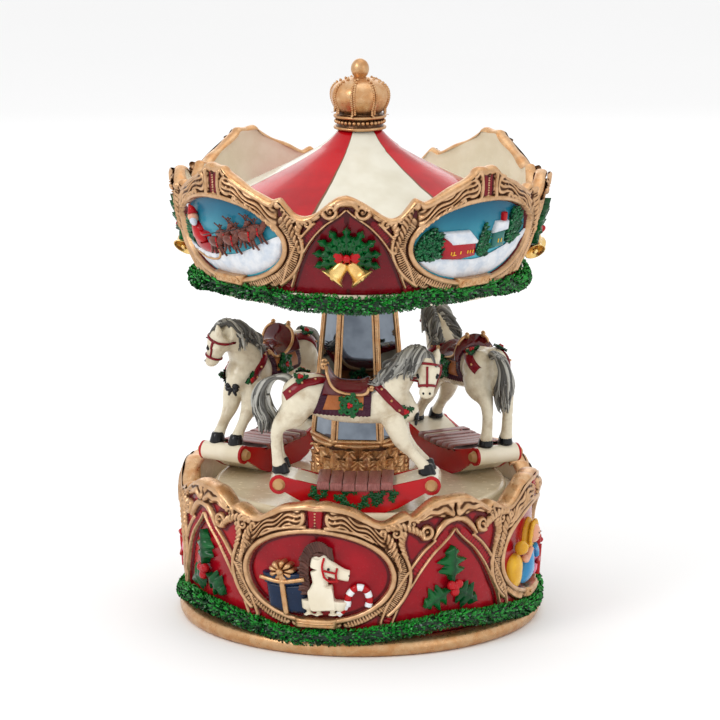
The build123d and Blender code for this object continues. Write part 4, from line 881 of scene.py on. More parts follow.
blanket(0.0, 0.55, 5, 118, ribs)
blanket(2.3, 0.75, 6, 98)
blanket(0.7, 1.0, 7, 60, seat)
for way in (-1, 1):
    line = curve([(-8.7, 14), (-8.5, 28), (-7.0, 43), (-3.4, 55), (1.0, 59), (3.4, 55), (4.2, 42)], 40)
    rim = np.array([girth(x, a * way, 1.1 + seat(x, a)) for x, a in line])
    horse.tube(rim, 0.5, 4, 8, wash=0.9)
    for end, first, size in ((rim[0], -0.4, 0.95), (rim[-1], math.pi, 0.7)):
        t = np.linspace(0, 1, 22)[:, None]
        turn = first + (-1 if size > 0.8 else 1) * 2.3 * math.pi * t
        middle = end - size * np.array([math.cos(first), 0, math.sin(first)])
        curl = middle + (size * (1 - 0.75 * t)) * np.concatenate([np.cos(turn), 0 * turn, np.sin(turn)], 1)
        horse.tube(curl, 0.5, 4, 8, wash=0.9)
for way in (-1, 1):
    loop = [(17.6, 0, 28.4), (18.6, 1.2 * way, 29.2), (18.3, 2.0 * way, 28.6), (18.5, 1.5 * way, 27.7),
            (17.8, 0.2 * way, 28.2)]
    horse.tube(curve(loop, 18), 0.75, 1, 8)
    horse.tube([(17.6, 0, 28.2), (18.4, 0.9 * way, 27.0), (18.2, 1.4 * way, 25.8)], (0.7, 0.6, 0.4), 1, 8)


def leaf(form, centre, direction, outward, size, kind, curl=0.25, slim=1.0):
    """Spiked holly leaf with a raised midrib, lying square to outward."""
    direction, outward = unit(np.asarray(direction, float)), unit(np.asarray(outward, float))
    side = np.cross(outward, direction)
    s = np.linspace(0, 1, 17)
    width = np.sin(math.pi * s**0.9) * 0.34 + 0.02
    width *= 1 + 0.42 * np.cos(s * math.pi * 7) * (s > 0.08) * (s < 0.95)
    t = np.linspace(-1, 1, 9)
    x = s[:, None] * size + 0 * t
    y = width[:, None] * size * slim * t
    ruffle = 0.05 * np.cos(s[:, None] * math.pi * 7) * np.abs(t)
    h = size * (0.10 + 0.10 * (1 - np.abs(t)) ** 0.6 - curl * 0.22 * t**2 + ruffle)
    place = np.asarray(centre, float) + x[..., None] * direction + y[..., None] * side + h[..., None] * outward
    # top darker along the midrib; the underside is darker still, painted shade beneath the leaf
    form.grid(place, kind, np.clip(0.35 + np.abs(t)[None, :] * 0.8 + 0 * x, 0, 1), flip=True)
    form.grid(place - outward * size * 0.16, kind, 0.2)


def sprig(x, a, size, lift, turns):
    """Holly leaves and three berries on the trunk, around a point at x and an angle."""
    middle = girth(x, a, lift)
    out = unit(middle - TRUNK - x * AHEAD)
    up = unit(np.cross(out, AHEAD))
    for turn in np.radians(turns):
        leaf(horse, middle + out * 0.1, math.cos(turn) * AHEAD + math.sin(turn) * up, out, size, 8)
    for turn in np.radians((0, 120, 240)):
        berry = middle + out * 0.7 + 0.45 * (math.cos(turn) * AHEAD + math.sin(turn) * up)
        horse.ball(berry, 0.55, 9, rings=7, sides=9)


for way in (-1, 1):
    sprig(-1.6, 84 * way, 4.2, 1.0, (0, 72, 144, 216, 288))
    sprig(-16.6, 30 * way, 2.7, 0.5, (20, 140, 260))
    sprig(15.4, 104 * way, 2.7, 0.5, (20, 140, 260))

ivory = Paint("ivory_horse", rough=0.24, coat=0.2, spec=0.35)
ivory.colour(ivory.blotch(5.0, 4, 0.42, 0.72, (0.70, 0.63, 0.48), (0.50, 0.41, 0.28)))
ivory.rough(ivory.ramp(ivory.noise(1.8, 3), 0.3, 0.7, 0.16, 0.32))
ivory.bump(ivory.noise(2.2, 4), 0.12, 0.22)
hair = Paint("grey_mane", rough=0.4)
hair.colour(hair.mix(hair.ramp(hair.attribute("tint"), 0.35, 0.95), (0.065, 0.062, 0.056), (0.42, 0.41, 0.37)))
hair.bump(hair.noise(0.5, 4, stretch=(1, 1, 0.35)), 0.12, 0.5)
fringe = lacquer("plum_fringe", (0.060, 0.008, 0.026), (0.035, 0.005, 0.016), rough=0.4)
tan = lacquer("tan_blanket", (0.44, 0.15, 0.040), (0.30, 0.085, 0.022), rough=0.35)
saddle_red = lacquer("saddle_leather_red", (0.10, 0.004, 0.008), (0.07, 0.002, 0.005), rough=0.12, coat=0.6)
HORSE_PAINTS = [ivory.m, BLACK, hair.m, DEEP_RED, SOFT_GOLD, fringe, tan, saddle_red, HOLLY, BERRY]

rail_holly = Form()
for x, z, turn in ((-11.6, 6.1, 200), (-8.4, 6.6, 150), (-4.4, 3.6, 60), (-1.4, 6.2, 95), (-1.8, 2.6, 250),
                   (2.0, 3.4, 330), (5.2, 4.2, 20), (8.4, 5.0, 160), (10.6, 5.8, 10)):
    for a in np.radians((turn, turn + 75, turn - 75)):
        leaf(rail_holly, (x, -7.9, z), (math.cos(a), 0, math.sin(a)), (0, -1, 0), 2.9, 0, 0.5)

deck = Form()
across, tall = np.array([(-8.45, 6.7), (-8.75, 6.8), (-8.8, 7.2), (-8.75, 8.4), (-8.5, 8.95), (-7.9, 9.15), (7.9, 9.15),
                         (8.5, 8.9), (8.7, 8.2), (8.6, 7.6), (7.0, 7.4), (-7.9, 7.4), (-8.0, 6.7)]).T
for k in range(6):
    x0, x1 = -11.6 + 3.87 * k + 0.12, -11.6 + 3.87 * (k + 1) - 0.12
    lift = 0.35 * ((x0 + x1) / 2 / 8) ** 2
    cuts = ((x0, 0.35), (x0 + 0.25, 0.0), (x1 - 0.25, 0.0), (x1, 0.35))
    sides = [np.stack([x + 0 * tall, across * (1 - tuck * 0.03), tall + lift - tuck * 0.5], -1) for x, tuck in cuts]
    deck.grid(np.stack(sides), 0, np.array([0.2, 1, 1, 0.2])[:, None], loop_v=True)

boards = Paint("plank_paint", rough=0.34, coat=0.1, spec=0.25)
grain = boards.ramp(boards.noise(1.4, 4, stretch=(6, 1, 1)), 0.35, 0.7)
boards.colour(boards.mix(grain, (0.31, 0.11, 0.095), (0.17, 0.052, 0.044)))
boards.bump(boards.noise(0.9, 4, stretch=(6, 1, 1)), 0.12, 0.5)
for side, azimuth in SIDES.items():
    move = standing(azimuth)
    nodes = [f"horse_{side}", f"saddle_{side}"]
    horse.moved(move).build(f"rocking_horse_{side}", HORSE_PAINTS, "carousel", nodes, "horse_ivory")
    rail_holly.moved(move).build(f"rail_holly_{side}", [HOLLY], "carousel", slot="painted_holly")
    assign(f"rocker_rails_{side}", BRIGHT_RED)
    deck.moved(move).build(f"plank_deck_{side}", [boards.m], "carousel", [f"rocker_planks_{side}"], "plank_brown")
assign("rocker_bosses", BOSS_GOLD)


# ------------------------------------------------------------------ roof, column, collar and crown
roof = Paint("striped_roof_paint", rough=0.18, coat=0.16, spec=0.2)
turn = roof.math("ARCTAN2", roof.axis("X"), roof.math("MULTIPLY", roof.axis("Y"), -1.0))
turn = roof.math("MULTIPLY", turn, math.degrees(1))
wobble = roof.math("MULTIPLY", roof.math("SUBTRACT", roof.noise(14.0, 2), 0.5), 3.0)
phase = roof.math("ADD", roof.math("ADD", turn, wobble), 6.0 + 720.0)
phase = roof.math("MODULO", phase, 120.0)
distance = roof.math("ABSOLUTE", roof.math("SUBTRACT", phase, 60.0))
is_red = roof.math("GREATER_THAN", phase, 60.0)
edge = roof.math("MINIMUM", distance, roof.math("SUBTRACT", 60.0, distance))
near_edge = roof.ramp(edge, 0.5, 0.9, 1.0, 0.0)
cream = roof.blotch(16.0, 3, 0.35, 0.7, (0.72, 0.69, 0.58), (0.62, 0.58, 0.46))
red = roof.blotch(12.0, 3, 0.35, 0.7, (0.50, 0.002, 0.007), (0.38, 0.001, 0.006))
roof.colour(roof.mix(near_edge, roof.mix(is_red, cream, red), (0.16, 0.07, 0.03)))
roof.rough(roof.ramp(roof.noise(2.0, 3), 0.3, 0.7, 0.12, 0.24))
roof.bump(roof.noise(6.0, 3), 0.25, 0.25)
tent = Form()
spin = np.linspace(0, 360, 240, endpoint=False)[:, None]
upper = [(6.6, 153.0), (9.2, 150.2), (12.8, 147.5), (21.0, 142.8), (34.5, 136.2), (46.0, 130.8), (52.2, 128.2)]
upper = curve(upper, 60)
eaves = [(52.2, 125.7), (50.8, 125.7)]
section = np.concatenate([[(1.7, 153.0)], upper, eaves, upper[::-1] - (0.9, 2.2), [(1.7, 150.8)]])
pucker = 0.35 * np.cos(np.radians(3 * (spin + 6))) ** 2
tent.grid(around(spin, section[None, :, 0], section[None, :, 1] - pucker * (section[None, :, 0] > 12)), 0, loop_u=True)
tent.build("tent_roof_painted", [roof.m], "carousel", ["tent_roof"], slot="striped_roof")

mirror = Paint("mirror_glass", rough=0.04, metal=1.0)
mirror.colour(mirror.blotch(9.0, 3, 0.35, 0.7, (0.20, 0.23, 0.27), (0.12, 0.14, 0.17)))
assign("column_mirrors", mirror.m)
strips = Form()
for k in range(6):
    corner = 10.0 + 60 * k - 30
    z = np.linspace(55.4, 100.0, 50)
    r = np.interp(z, [54.0, 100.0], [15.4, 11.2])
    strips.tube(around(corner, r - 0.3, z), 0.62, 0, 10, wash=0.5)
    for turn in (-1, 1):
        shift = around(corner + 90 * turn, 0.95, 0.0) - around(corner, 0.35, 0.0)
        strips.tube(around(corner, r - 0.45, z) + shift, 0.36, 0, 8, wash=0.85)
    for z, r in ((56.6, 15.2), (99.2, 11.35)):
        ends = [around(corner, r, z), around(corner + 60, r, z)]
        strips.tube(np.linspace(*ends, 10), 0.7, 0, 8, wash=0.8)
strips.build("column_gilding", [GOLD], "carousel", slot="antique_gold")
assign("column_casting", GOLD)


def acanthus(azimuth, foot, tall, wide, curl, stand):
    """Gilt leaf that climbs the collar and rolls outward at its tip."""
    s = np.linspace(0, 1, 40)
    t = np.linspace(-1, 1, 19)
    half = wide * (0.7 + 0.4 * np.sin(math.pi * s) ** 0.8) * np.sqrt(np.clip(1.03 - s**3.2, 0, 1))
    half = half * (1 - 0.24 * (0.5 - 0.5 * np.cos(FULL * s * 6.0)))
    z = foot + tall * (s - 0.2 * curl * np.clip((s - 0.8) / 0.2, 0, 1) ** 2)
    out = stand + 0.3 * np.sin(math.pi * s) + 1.5 * curl * np.clip((s - 0.62) / 0.38, 0, 1) ** 2
    ridge = 0.7 * (1 - np.abs(t)) ** 0.8 + 0.34 * np.cos(FULL * (s[:, None] * 6 + np.abs(t) * 1.5)) * np.abs(t) ** 0.7
    radius = 13.6 + out[:, None] + ridge - 0.7 * t**2
    turn = azimuth + np.degrees(half[:, None] * t / 14.0)
    # lighter on the ribs, darker between them: painted shade together with glaze
    collar.grid(around(turn, radius, z[:, None] + 0 * t), 0, np.clip(0.35 + ridge * 0.75, 0, 1), 1.0)


collar = Form()
spin = np.linspace(0, 360, 180, endpoint=False)[:, None]
# the recessed neck and the inner top edge get low values, darker: painted shade together with glaze
turned(collar, [(15.4, 42.0), (15.8, 42.6), (15.4, 43.4), (13.4, 44.0), (13.4, 50.0), (13.8, 54.4), (14.9, 55.0),
                (15.1, 55.6), (14.6, 56.0), (12.8, 56.0)], 180,
       wash=np.array([0.8, 1, 0.8, 0.6, 0.5, 0.6, 0.8, 1, 0.8, 0.4]))
for row, (foot, tall, wide, stand) in enumerate(((43.0, 13.0, 2.9, 0.1), (42.6, 9.8, 2.8, 0.7), (42.4, 6.2, 2.7, 1.1))):
    for k in range(16):
        acanthus(22.5 * k + 11.25 * (row % 2), foot, tall, wide, 1.0 - 0.2 * row, stand)
collar.build("acanthus_collar_carved", [GOLD], "carousel", ["acanthus_collar"], slot="antique_gold")

capital = Form()
z = np.linspace(100.1, 105.9, 30)[None, :]
r = np.interp(z, [100.1, 101, 101.8, 102.6, 103.6, 104.6, 105.2, 105.9],
              [10.7, 11.0, 10.3, 10.5, 11.6, 11.4, 12.4, 12.4])
flute = np.cos(np.radians(spin * 40))
r = r + 0.18 * flute * (z > 102.4) * (z < 104.8)
# darker in the flutes: painted shade together with glaze
capital.grid(around(spin, r, z), 0, np.clip(0.5 + 0.5 * flute, 0.2, 1), 1.0, loop_u=True)
capital.build("column_capital_gilt", [GOLD], "carousel", ["column_capital"], slot="antique_gold")

crown = Form()
line = curve([(7.4, 153.05), (7.9, 153.4), (7.5, 154.2), (7.3, 154.9), (7.4, 156.3), (8.0, 156.9), (7.7, 157.6),
              (7.6, 158.0), (8.9, 159.4), (10.1, 161.6), (10.5, 163.6), (10.0, 165.6), (8.2, 167.4), (5.4, 168.5),
              (2.8, 169.2), (1.7, 169.8)], 120)
spin = spin[::3]
r, z = line.T[:, None]
lobes = 0.34 * np.abs(np.cos(np.radians(spin * 4))) * np.clip((z - 158) / 2, 0, 1) * np.clip((169 - z) / 2, 0, 1)
# the hollow value rises with height, so the crown is darker towards the bottom
crown.grid(around(spin, r + lobes - 0.3, z + 0 * spin), 0, np.clip((z - 156) / 9, 0.15, 0.75), 1.0, loop_u=True)
for k in range(8):
    for t in np.linspace(0.0, 1.0, 17):
        z = 158.4 + 10.2 * t
        r = np.interp(z, line[40:, 1], line[40:, 0]) + 0.05
        for way in (-1, 1):
            a = 45 * k + way * np.degrees(0.46 / max(r, 2.2))
            crown.ball(around(a, r, z + 0.15 * way), 0.5, 1, rings=6, sides=8)
for k in range(34):
    crown.ball(around(k * 360 / 34, 7.45, 155.6), 0.62, 1, rings=6, sides=8)
for z, r in ((153.7, 7.7), (157.2, 7.75)):
    a = np.linspace(0, 360, 90, endpoint=False)
    crown.tube(around(a, r, z), 0.5, 1, 8, loop=True)
crown.ball((0, 0, 171.7), 3.25, 1, stretch=(1, 1, 0.98), rings=18, sides=28)
crown.ball((0, 0, 169.3), 1.9, 1, stretch=(1, 1, 0.5), rings=8, sides=20)
crown.points = [p * ((1 - 0.13 * (p[:, 2:] > 158.0)) * (1, 1, 0) + (0, 0, 1)) for p in crown.points]
crown.build("crown_gilt", [GOLD, SOFT_GOLD], "carousel", ["crown_finial"], slot="antique_gold")


# ------------------------------------------------------------------ garlands
def garland(name, middle, thickness, body, node, count, reach):
    """Wavy rope of needles. middle gives (radius, height) for azimuths in degrees."""
    form = Form()
    a = np.linspace(0, 360, 540, endpoint=False)
    r, z = middle(a)
    fat = thickness * (0.86 + 0.08 * np.sin(np.radians(a * 23)) + 0.06 * np.sin(np.radians(a * 41)))
    # dark core: painted shade inside the needles
    form.tube(around(a, r, z), fat * 0.82, 0, 14, loop=True, wash=0.3, tint=0.1)
    az = rng.uniform(0, 360, count)
    roll = rng.uniform(-0.62 * math.pi, 1.05 * math.pi, count)
    rr, zz = middle(az)
    width = thickness * 0.95
    foot = around(az, rr + width * 0.75 * np.cos(roll), zz + width * 0.75 * np.sin(roll))
    out = around(az, np.cos(roll), np.sin(roll))
    tangent = around(az + 90, 1.0, 0.0)
    flow = np.where(rng.uniform(0, 1, count) < 0.62, 1.0, -1.0)
    aim = unit(out * rng.uniform(0.45, 0.9, (count, 1)) + tangent * (flow * rng.uniform(0.5, 1.0, count))[:, None])
    length = reach * rng.uniform(0.7, 1.15, count)
    across = unit(np.cross(aim, out)) * (0.21 * rng.uniform(0.8, 1.4, count))[:, None]
    lift = unit(np.cross(across, aim)) * 0.2
    tip = foot + aim * length[:, None]
    half = foot + aim * (length * 0.5)[:, None]
    points = [foot - across, half - across * 1.2, tip, half + across * 1.2, foot + across]
    points += [foot + lift, half + lift * 1.6]
    base = np.arange(count)[:, None] * 7
    quads = np.concatenate([base + (0, 1, 6, 5), base + (1, 2, 2, 6), base + (6, 2, 2, 3), base + (5, 6, 3, 4)])
    # random tone, raised on needles above the rope's middle: painted light on the garland's top
    tint = np.repeat(np.clip(rng.beta(1.3, 1.6, count) + 0.25 * np.sin(roll), 0, 1), 7)
    form.patch(np.stack(points, 1), quads, 0, 0.9, tint)
    form.build(name, [GREEN], body, [node], "garland_green")


def low_rope(a):
    wave = np.cos(np.radians(4 * a))
    ripple = 0.5 * np.sin(np.radians(a * 11)) + 0.35 * np.sin(np.radians(a * 17 + 40))
    return 55.5 + 0.1 * ripple, 7.5 - 2.0 * wave + 0.45 * ripple


def high_rope(a):
    wave = np.cos(np.radians(4 * (a - 10)))
    ripple = 0.45 * np.sin(np.radians(a * 13)) + 0.35 * np.sin(np.radians(a * 19 + 70))
    return 50.6 + 0.1 * ripple, 108.5 - 1.2 * wave + 0.4 * ripple


garland("base_garland_needles", low_rope, 2.6, "base", "base_garland", 9000, 2.4)
garland("canopy_garland_needles", high_rope, 2.9, "carousel", "canopy_garland", 9500, 2.5)


# ------------------------------------------------------------------ pictures in the panels
# drawn flat: x along the rim, y into the wall, z up; then bent onto the wall
OUT = np.array([0.0, -1.0, 0.0])


def onto(wall, azimuth):
    """Mapping from a flat picture to its place on a wall."""
    return lambda p: wall.at(azimuth, p[:, 0], p[:, 2], -p[:, 1])


def puff(form, p, height, kind, base, power):
    """Raises the inside of a dense outline, steep at its edge for a high power."""
    middle = p.mean(0)
    rings = np.array([0.0, 0.35, 0.6, 0.78, 0.9, 0.97, 1.0, 1.0])
    flat = middle + rings[:, None, None] * (p - middle)
    rise = base + height * np.clip(1 - rings**power, 0, 1) ** 0.5
    rise[-1] = -1.3
    place = np.stack([flat[..., 0], -rise[:, None] + 0 * flat[..., 0], flat[..., 1]], -1)
    # darker towards the outline, where the relief meets the wall: painted shade in the crease, with glaze
    form.grid(place, kind, np.linspace(1, 0.45, 8)[:, None], loop_v=True)


def plate(form, outline, height, kind, base=-0.95):
    """Puffed relief with a rounded outline of (u, z) points."""
    p = np.asarray(outline, float)
    puff(form, curve(np.vstack([p, p[:1]]), 73)[:-1], height, kind, base, 2.6)


def block(form, outline, height, kind, base=-0.95, power=7):
    """Flat-topped relief whose outline keeps its corners."""
    p = np.asarray(outline, float)
    dense = [a + (b - a) * t for a, b in zip(p, np.roll(p, -1, 0)) for t in np.linspace(0, 1, 8, endpoint=False)]
    puff(form, np.array(dense), height, kind, base, power)


def rod(form, points, radius, kind, lift=0.0, wash=1.0, steps=None):
    """Round line through (u, z) points, lifted off the wall."""
    p = np.asarray(points, float)
    p = curve(p, steps or max(len(p) * 6, 8))
    form.tube(np.stack([p[:, 0], np.full(len(p), -lift), p[:, 1]], -1), radius, kind, 8, normal=(0, 1, 0), wash=wash)


def tufts(form, outline, count, kind, size):
    """Little upward tufts filling an outline, for a bushy tree."""
    p = np.asarray(outline, float)
    low, high = p.min(0), p.max(0)
    made = 0
    while made < count:
        u, z = rng.uniform(low, high)
        inside, j = False, len(p) - 1
        for i in range(len(p)):
            if (p[i, 1] > z) != (p[j, 1] > z):
                crossing = (p[j, 0] - p[i, 0]) * (z - p[i, 1]) / (p[j, 1] - p[i, 1]) + p[i, 0]
                inside = inside != (u < crossing)
            j = i
        if not inside:
            continue
        made += 1
        a = rng.uniform(-1.1, 1.1)
        start = np.array([u, 0.3, z])
        end = start + np.array([math.sin(a) * size, -size * 0.9, 0.6 * size * math.cos(a)])
        line, radii = [start, (start + end) / 2 + (0, -0.1, 0.1), end], (0.42 * size, 0.34 * size, 0.05)
        form.tube(line, radii, kind, 6, tint=rng.uniform(0, 1))


def bow(form, u, z, size, kind, lift):
    for way in (-1, 1):
        loop = ((0, 0), (0.9, 0.75), (1.35, 0.1), (0.9, -0.55))
        tail = ((0, 0), (0.45, -0.5), (1.0, -1.35), (0.55, -1.3))
        for outline, height in ((loop, 1.3), (tail, 0.8)):
            plate(form, [(u + way * x * size, z + y * size) for x, y in outline], height, kind, lift - 0.9)
    form.ball((u, -lift - 0.1, z), 0.38 * size, kind, rings=8, sides=12)


def bell(form, u, z, tilt, kind, size):
    """Open bell hanging down and outward from (u, z)."""
    a = math.radians(tilt)
    axis = unit(np.array([math.sin(a), -0.28, -math.cos(a)]))
    first = unit(np.cross(axis, OUT))
    second = np.cross(axis, first)
    shape = np.array([(0.2, 0), (0.9, 0.1), (1.5, 0.7), (1.75, 1.8), (1.95, 3.2), (2.5, 4.4), (3.3, 5.2), (3.5, 5.5),
                      (3.2, 5.5), (2.3, 4.4), (1.6, 2.4), (0.1, 1.2)])
    line = curve(shape * size, 40)
    turn = circle(28)
    ring = np.cos(turn)[:, None] * first + np.sin(turn)[:, None] * second * 0.72
    top = np.array([u, -0.5, z])
    form.grid(top + line[:, None, :1] * ring + line[:, None, 1:] * axis, kind, 0.8, 1.0, loop_v=True)
    form.ball(top + axis * 5.2 * size, 0.8 * size, kind, rings=8, sides=10)


SKY = Paint("winter_sky", rough=0.26, coat=0.1, spec=0.25)
level = SKY.math("ADD", SKY.axis("Z"), SKY.math("MULTIPLY", SKY.noise(7.0, 4), 0.004))
SKY.colour(SKY.mix(SKY.ramp(level, 0.121, 0.139), (0.06, 0.40, 0.50), (0.002, 0.10, 0.18)))
SKY.bump(SKY.noise(3.0, 4), 0.15, 0.25)
SNOW = Paint("snow_paint", rough=0.5)
SNOW.colour(SNOW.blotch(3.0, 4, 0.35, 0.7, (0.72, 0.74, 0.77), (0.54, 0.60, 0.68)))
SNOW.bump(SNOW.noise(0.9, 5, 0.6), 0.25, 0.6)
PINE = greenery("pine_green", (0.002, 0.045, 0.018), (0.010, 0.16, 0.05), 0.25)
BARN = lacquer("barn_red", (0.38, 0.012, 0.02), (0.28, 0.008, 0.014))
TEAL = lacquer("teal_wall", (0.03, 0.16, 0.14), (0.02, 0.11, 0.10))
YELLOW = lacquer("yellow_paint", (0.80, 0.46, 0.03), (0.62, 0.30, 0.02))
SKIN = lacquer("face_paint", (0.78, 0.42, 0.28), (0.70, 0.34, 0.22))
PINK = lacquer("pink_paint", (0.78, 0.22, 0.34), (0.66, 0.14, 0.26))
BLUE = lacquer("blue_dress", (0.04, 0.30, 0.58), (0.03, 0.20, 0.42))
DEER = lacquer("deer_brown", (0.19, 0.055, 0.035), (0.10, 0.03, 0.022), patch=1.4, wash=(0.03, 0.01, 0.008))
SCENE_PAINTS = [SKY.m, SNOW.m, PINE, BARN, TEAL, YELLOW, BLACK, BRIGHT_RED, SKIN, DEER, SOFT_GOLD, BROWN]


def backdrop(form, snow_line):
    """Sky dish in the oval, with snow up to a line of (u, z) points."""
    rings = np.linspace(0, 1, 12)[:, None]
    u = 24.3 * rings * np.sin(circle(120))
    z = 125.2 + 12.1 * rings * np.cos(circle(120))
    form.grid(np.stack([u, 0.55 + 0.25 * rings**4 + 0 * u, z], -1), loop_v=True, flip=True)
    s = np.linspace(-1, 1, 60)
    reach = 24.0 * s
    low = 125.2 - 12.0 * np.sqrt(np.clip(1 - s**2, 0, 1))
    line = np.maximum(np.interp(reach, *curve(snow_line, 60).T), low)
    t = np.linspace(0, 1, 22)[:, None]
    bumps = 0.16 * np.sin(reach * 1.3 + t * 5) + 0.12 * np.sin(reach * 2.9 - t * 9)
    rise = -0.95 + (1.15 + bumps) * np.clip(np.sin(math.pi * np.clip(1.04 - t, 0, 1) ** 0.6), 0, 1) ** 0.5
    form.grid(np.stack([reach + 0 * t, -rise, low + (line - low) * t], -1), 1, 0.9)


def bushes(form, outline, height, count, size):
    plate(form, outline, height, 2)
    tufts(form, outline, count, 2, size)


village = Form()
backdrop(village, [(-24, 119.5), (-18, 121.2), (-8, 120.2), (0, 119.8), (8, 121.4), (16, 123.6), (24, 126)])
bush = [(-23.4, 121), (-23.6, 125), (-21, 129.4), (-17.6, 130.4), (-14.6, 128.0), (-14.2, 121.2), (-18, 120.4)]
bushes(village, bush, 1.2, 150, 1.5)
block(village, [(-14.4, 120.6), (-15.6, 125.8), (-14.2, 127.4), (-1.6, 126.6), (-1.2, 120.8), (-8, 120.0)], 1.9, 3,
      power=5)
block(village, [(-15.6, 129.4), (-5.2, 129.2), (-1.0, 125.4), (-1.4, 124.6), (-12.2, 124.8)], 2.5, 1, power=5)
for u in (-11.6, -10.6, -8.2, -5.6, -4.6, -3.6):
    rod(village, [(u, 122.0), (u + 0.1, 123.0)], 0.2, 5, 0.95)
rod(village, [(-11.2, 121.8), (-9.8, 121.9)], 0.18, 5, 0.95)
cone = [(0.6, 120.2), (-1.2, 122), (-0.4, 126), (0.8, 130.4), (1.8, 130.2), (3.2, 126), (4.0, 121.6), (2.6, 120.0)]
bushes(village, cone, 1.4, 90, 1.2)
block(village, [(5.0, 122), (5.0, 127.8), (10.6, 127.6), (11.0, 122.4)], 1.8, 4, power=5)
block(village, [(4.4, 127.0), (5.4, 130.8), (11.2, 130.6), (11.6, 127.4)], 2.3, 1, power=5)
block(village, [(8.2, 130.2), (8.2, 133.2), (10.0, 133.2), (10.0, 130.2)], 1.8, 7, power=5)
for u in (7.0, 8.4):
    rod(village, [(u, 124.0), (u, 125.2)], 0.2, 5, 0.9)
cone = [(12.0, 123.4), (11.6, 127), (13.2, 132.6), (15.6, 134.2), (18.4, 131.4), (19.6, 127), (18.4, 124.0),
        (15, 122.6)]
bushes(village, cone, 1.4, 150, 1.4)

sleigh = Form()
backdrop(sleigh, [(-24, 121.5), (-16, 119.8), (-6, 119.6), (4, 120.6), (12, 123.2), (18, 126.0), (24, 128.5)])
bush = [(-22.6, 122), (-21.4, 127.6), (-18.0, 129.8), (-16.6, 124), (-18.6, 121)]
bushes(sleigh, bush, 1.0, 70, 1.3)
plate(sleigh, [(-19.2, 124.8), (-16.6, 120.6), (-10, 119.2), (-3.6, 120.0), (-3.0, 123.0), (-6, 123.2), (-9, 121.8),
               (-14, 122.6), (-16.8, 126.0)], 2.1, 3)
rod(sleigh, [(-18, 119.0), (-11, 117.6), (-4, 118.2), (-1.8, 120.4), (-2.6, 121.6)], 0.35, 10, 0.3)
plate(sleigh, [(-17.4, 123.0), (-16.4, 128.0), (-13.4, 128.8), (-10.6, 126.4), (-9.4, 122.4), (-13, 121.2)], 2.6, 7)
plate(sleigh, [(-11.6, 126.4), (-7.0, 126.0), (-6.4, 124.8), (-10.6, 124.2)], 2.4, 7)
sleigh.ball((-13.0, -1.0, 130.0), 1.7, 8, rings=10, sides=14)
sleigh.ball((-12.4, -1.5, 128.9), 1.4, 1, stretch=(1, 0.8, 1.1), rings=8, sides=12)
sleigh.tube([(-13.0, -1.0, 131.0), (-13.6, -1.0, 132.6), (-15.0, -1.0, 133.4)], (1.7, 1.1, 0.4), 7, 12)
sleigh.ball((-15.2, -1.1, 133.3), 0.6, 1, rings=7, sides=9)


def deer(u, y, z):
    """Reindeer facing +u, with antlers, four legs and a red girth."""
    def spread(points):
        return [(u + a, y + b, z + c) for a, b, c in points]

    sleigh.ball((u, y, z), 2.1, 9, stretch=(1.5, 0.75, 0.85), rings=9, sides=12, wash=0.7)
    sleigh.tube(curve(spread([(2.2, 0, 0.4), (3.6, 0, 2.0), (4.0, 0, 3.2)]), 8), (1.3, 0.95, 0.8), 9, 9, wash=0.7)
    sleigh.ball((u + 4.5, y - 0.1, z + 3.5), 0.9, 9, stretch=(1.4, 0.8, 0.8), rings=7, sides=9)
    for way in (-0.5, 0.6):
        horn = spread([(3.7, 0, 4.0), (3.4 + way, -0.2, 5.2), (2.4 + 2.2 * way, -0.2, 6.0)])
        sleigh.tube(curve(horn, 7), 0.24, 9, 6, wash=0.4)
        sleigh.tube(spread([(3.4 + way, -0.2, 5.1), (4.2 + way, -0.2, 5.8)]), 0.2, 9, 6, wash=0.4)
    for leg, way in ((-2.2, -1.0), (-1.2, 0.4), (1.4, 0.8), (2.2, 2.0)):
        line = spread([(leg, 0, -1.0), (leg + way * 0.4, 0, -2.6), (leg + way, 0, -4.0)])
        sleigh.tube(curve(line, 7), (0.6, 0.42, 0.34), 9, 7, wash=0.5)
    sleigh.tube(curve(spread([(1.6, -0.9, 1.6), (1.8, -1.3, 0), (1.6, -0.9, -1.6)]), 8), 0.26, 7, 6)


for u, z in ((-1.6, 124.0), (5.4, 125.4), (12.4, 127.4)):
    deer(u, -1.3, z)
for u, z in ((1.6, 126.4), (8.6, 128.0), (15.2, 129.4)):
    deer(u, -0.5, z)
rod(sleigh, [(-7.0, 125.4), (-1, 126.8), (6, 128.4), (14, 130.6)], 0.16, 6, 1.9)

bells = Form()
for k in range(9):
    a = math.radians(-104 + 26 * k)
    x, z = math.sin(a), math.cos(a)
    leaf(bells, (1.4 * x, 0.2, 121.8 + 1.2 * z), (x, -0.12, 0.9 * z), OUT, 9.2, 0, 0.6, 0.62)
for k in range(6):
    a = math.radians(-90 + 36 * k)
    x, z = math.sin(a), math.cos(a)
    leaf(bells, (1.6 * x, -0.7, 122.4 + 1.4 * z), (x, -0.2, z), OUT, 5.8, 0, 0.6, 0.6)
bell(bells, -0.6, 120.8, -40, 1, 1.2)
bell(bells, 0.6, 120.8, 40, 1, 1.2)
bow(bells, 0.0, 122.4, 3.3, 2, 1.9)

holly = Form()
for u, z, dx, dz, size in ((-0.6, 21.6, 0.0, 1, 11.2), (-1.6, 19.0, -0.86, -0.5, 9.6), (1.0, 19.0, 0.84, -0.54, 9.6)):
    leaf(holly, (u, 0.3, z), (dx, 0, dz), OUT, size, 0, 0.5)
for u, z in ((-1.4, 20.6), (1.0, 20.8), (-0.2, 18.4), (-0.1, 20.2)):
    holly.ball((u, -1.5, z), 1.45, 1, rings=10, sides=14)

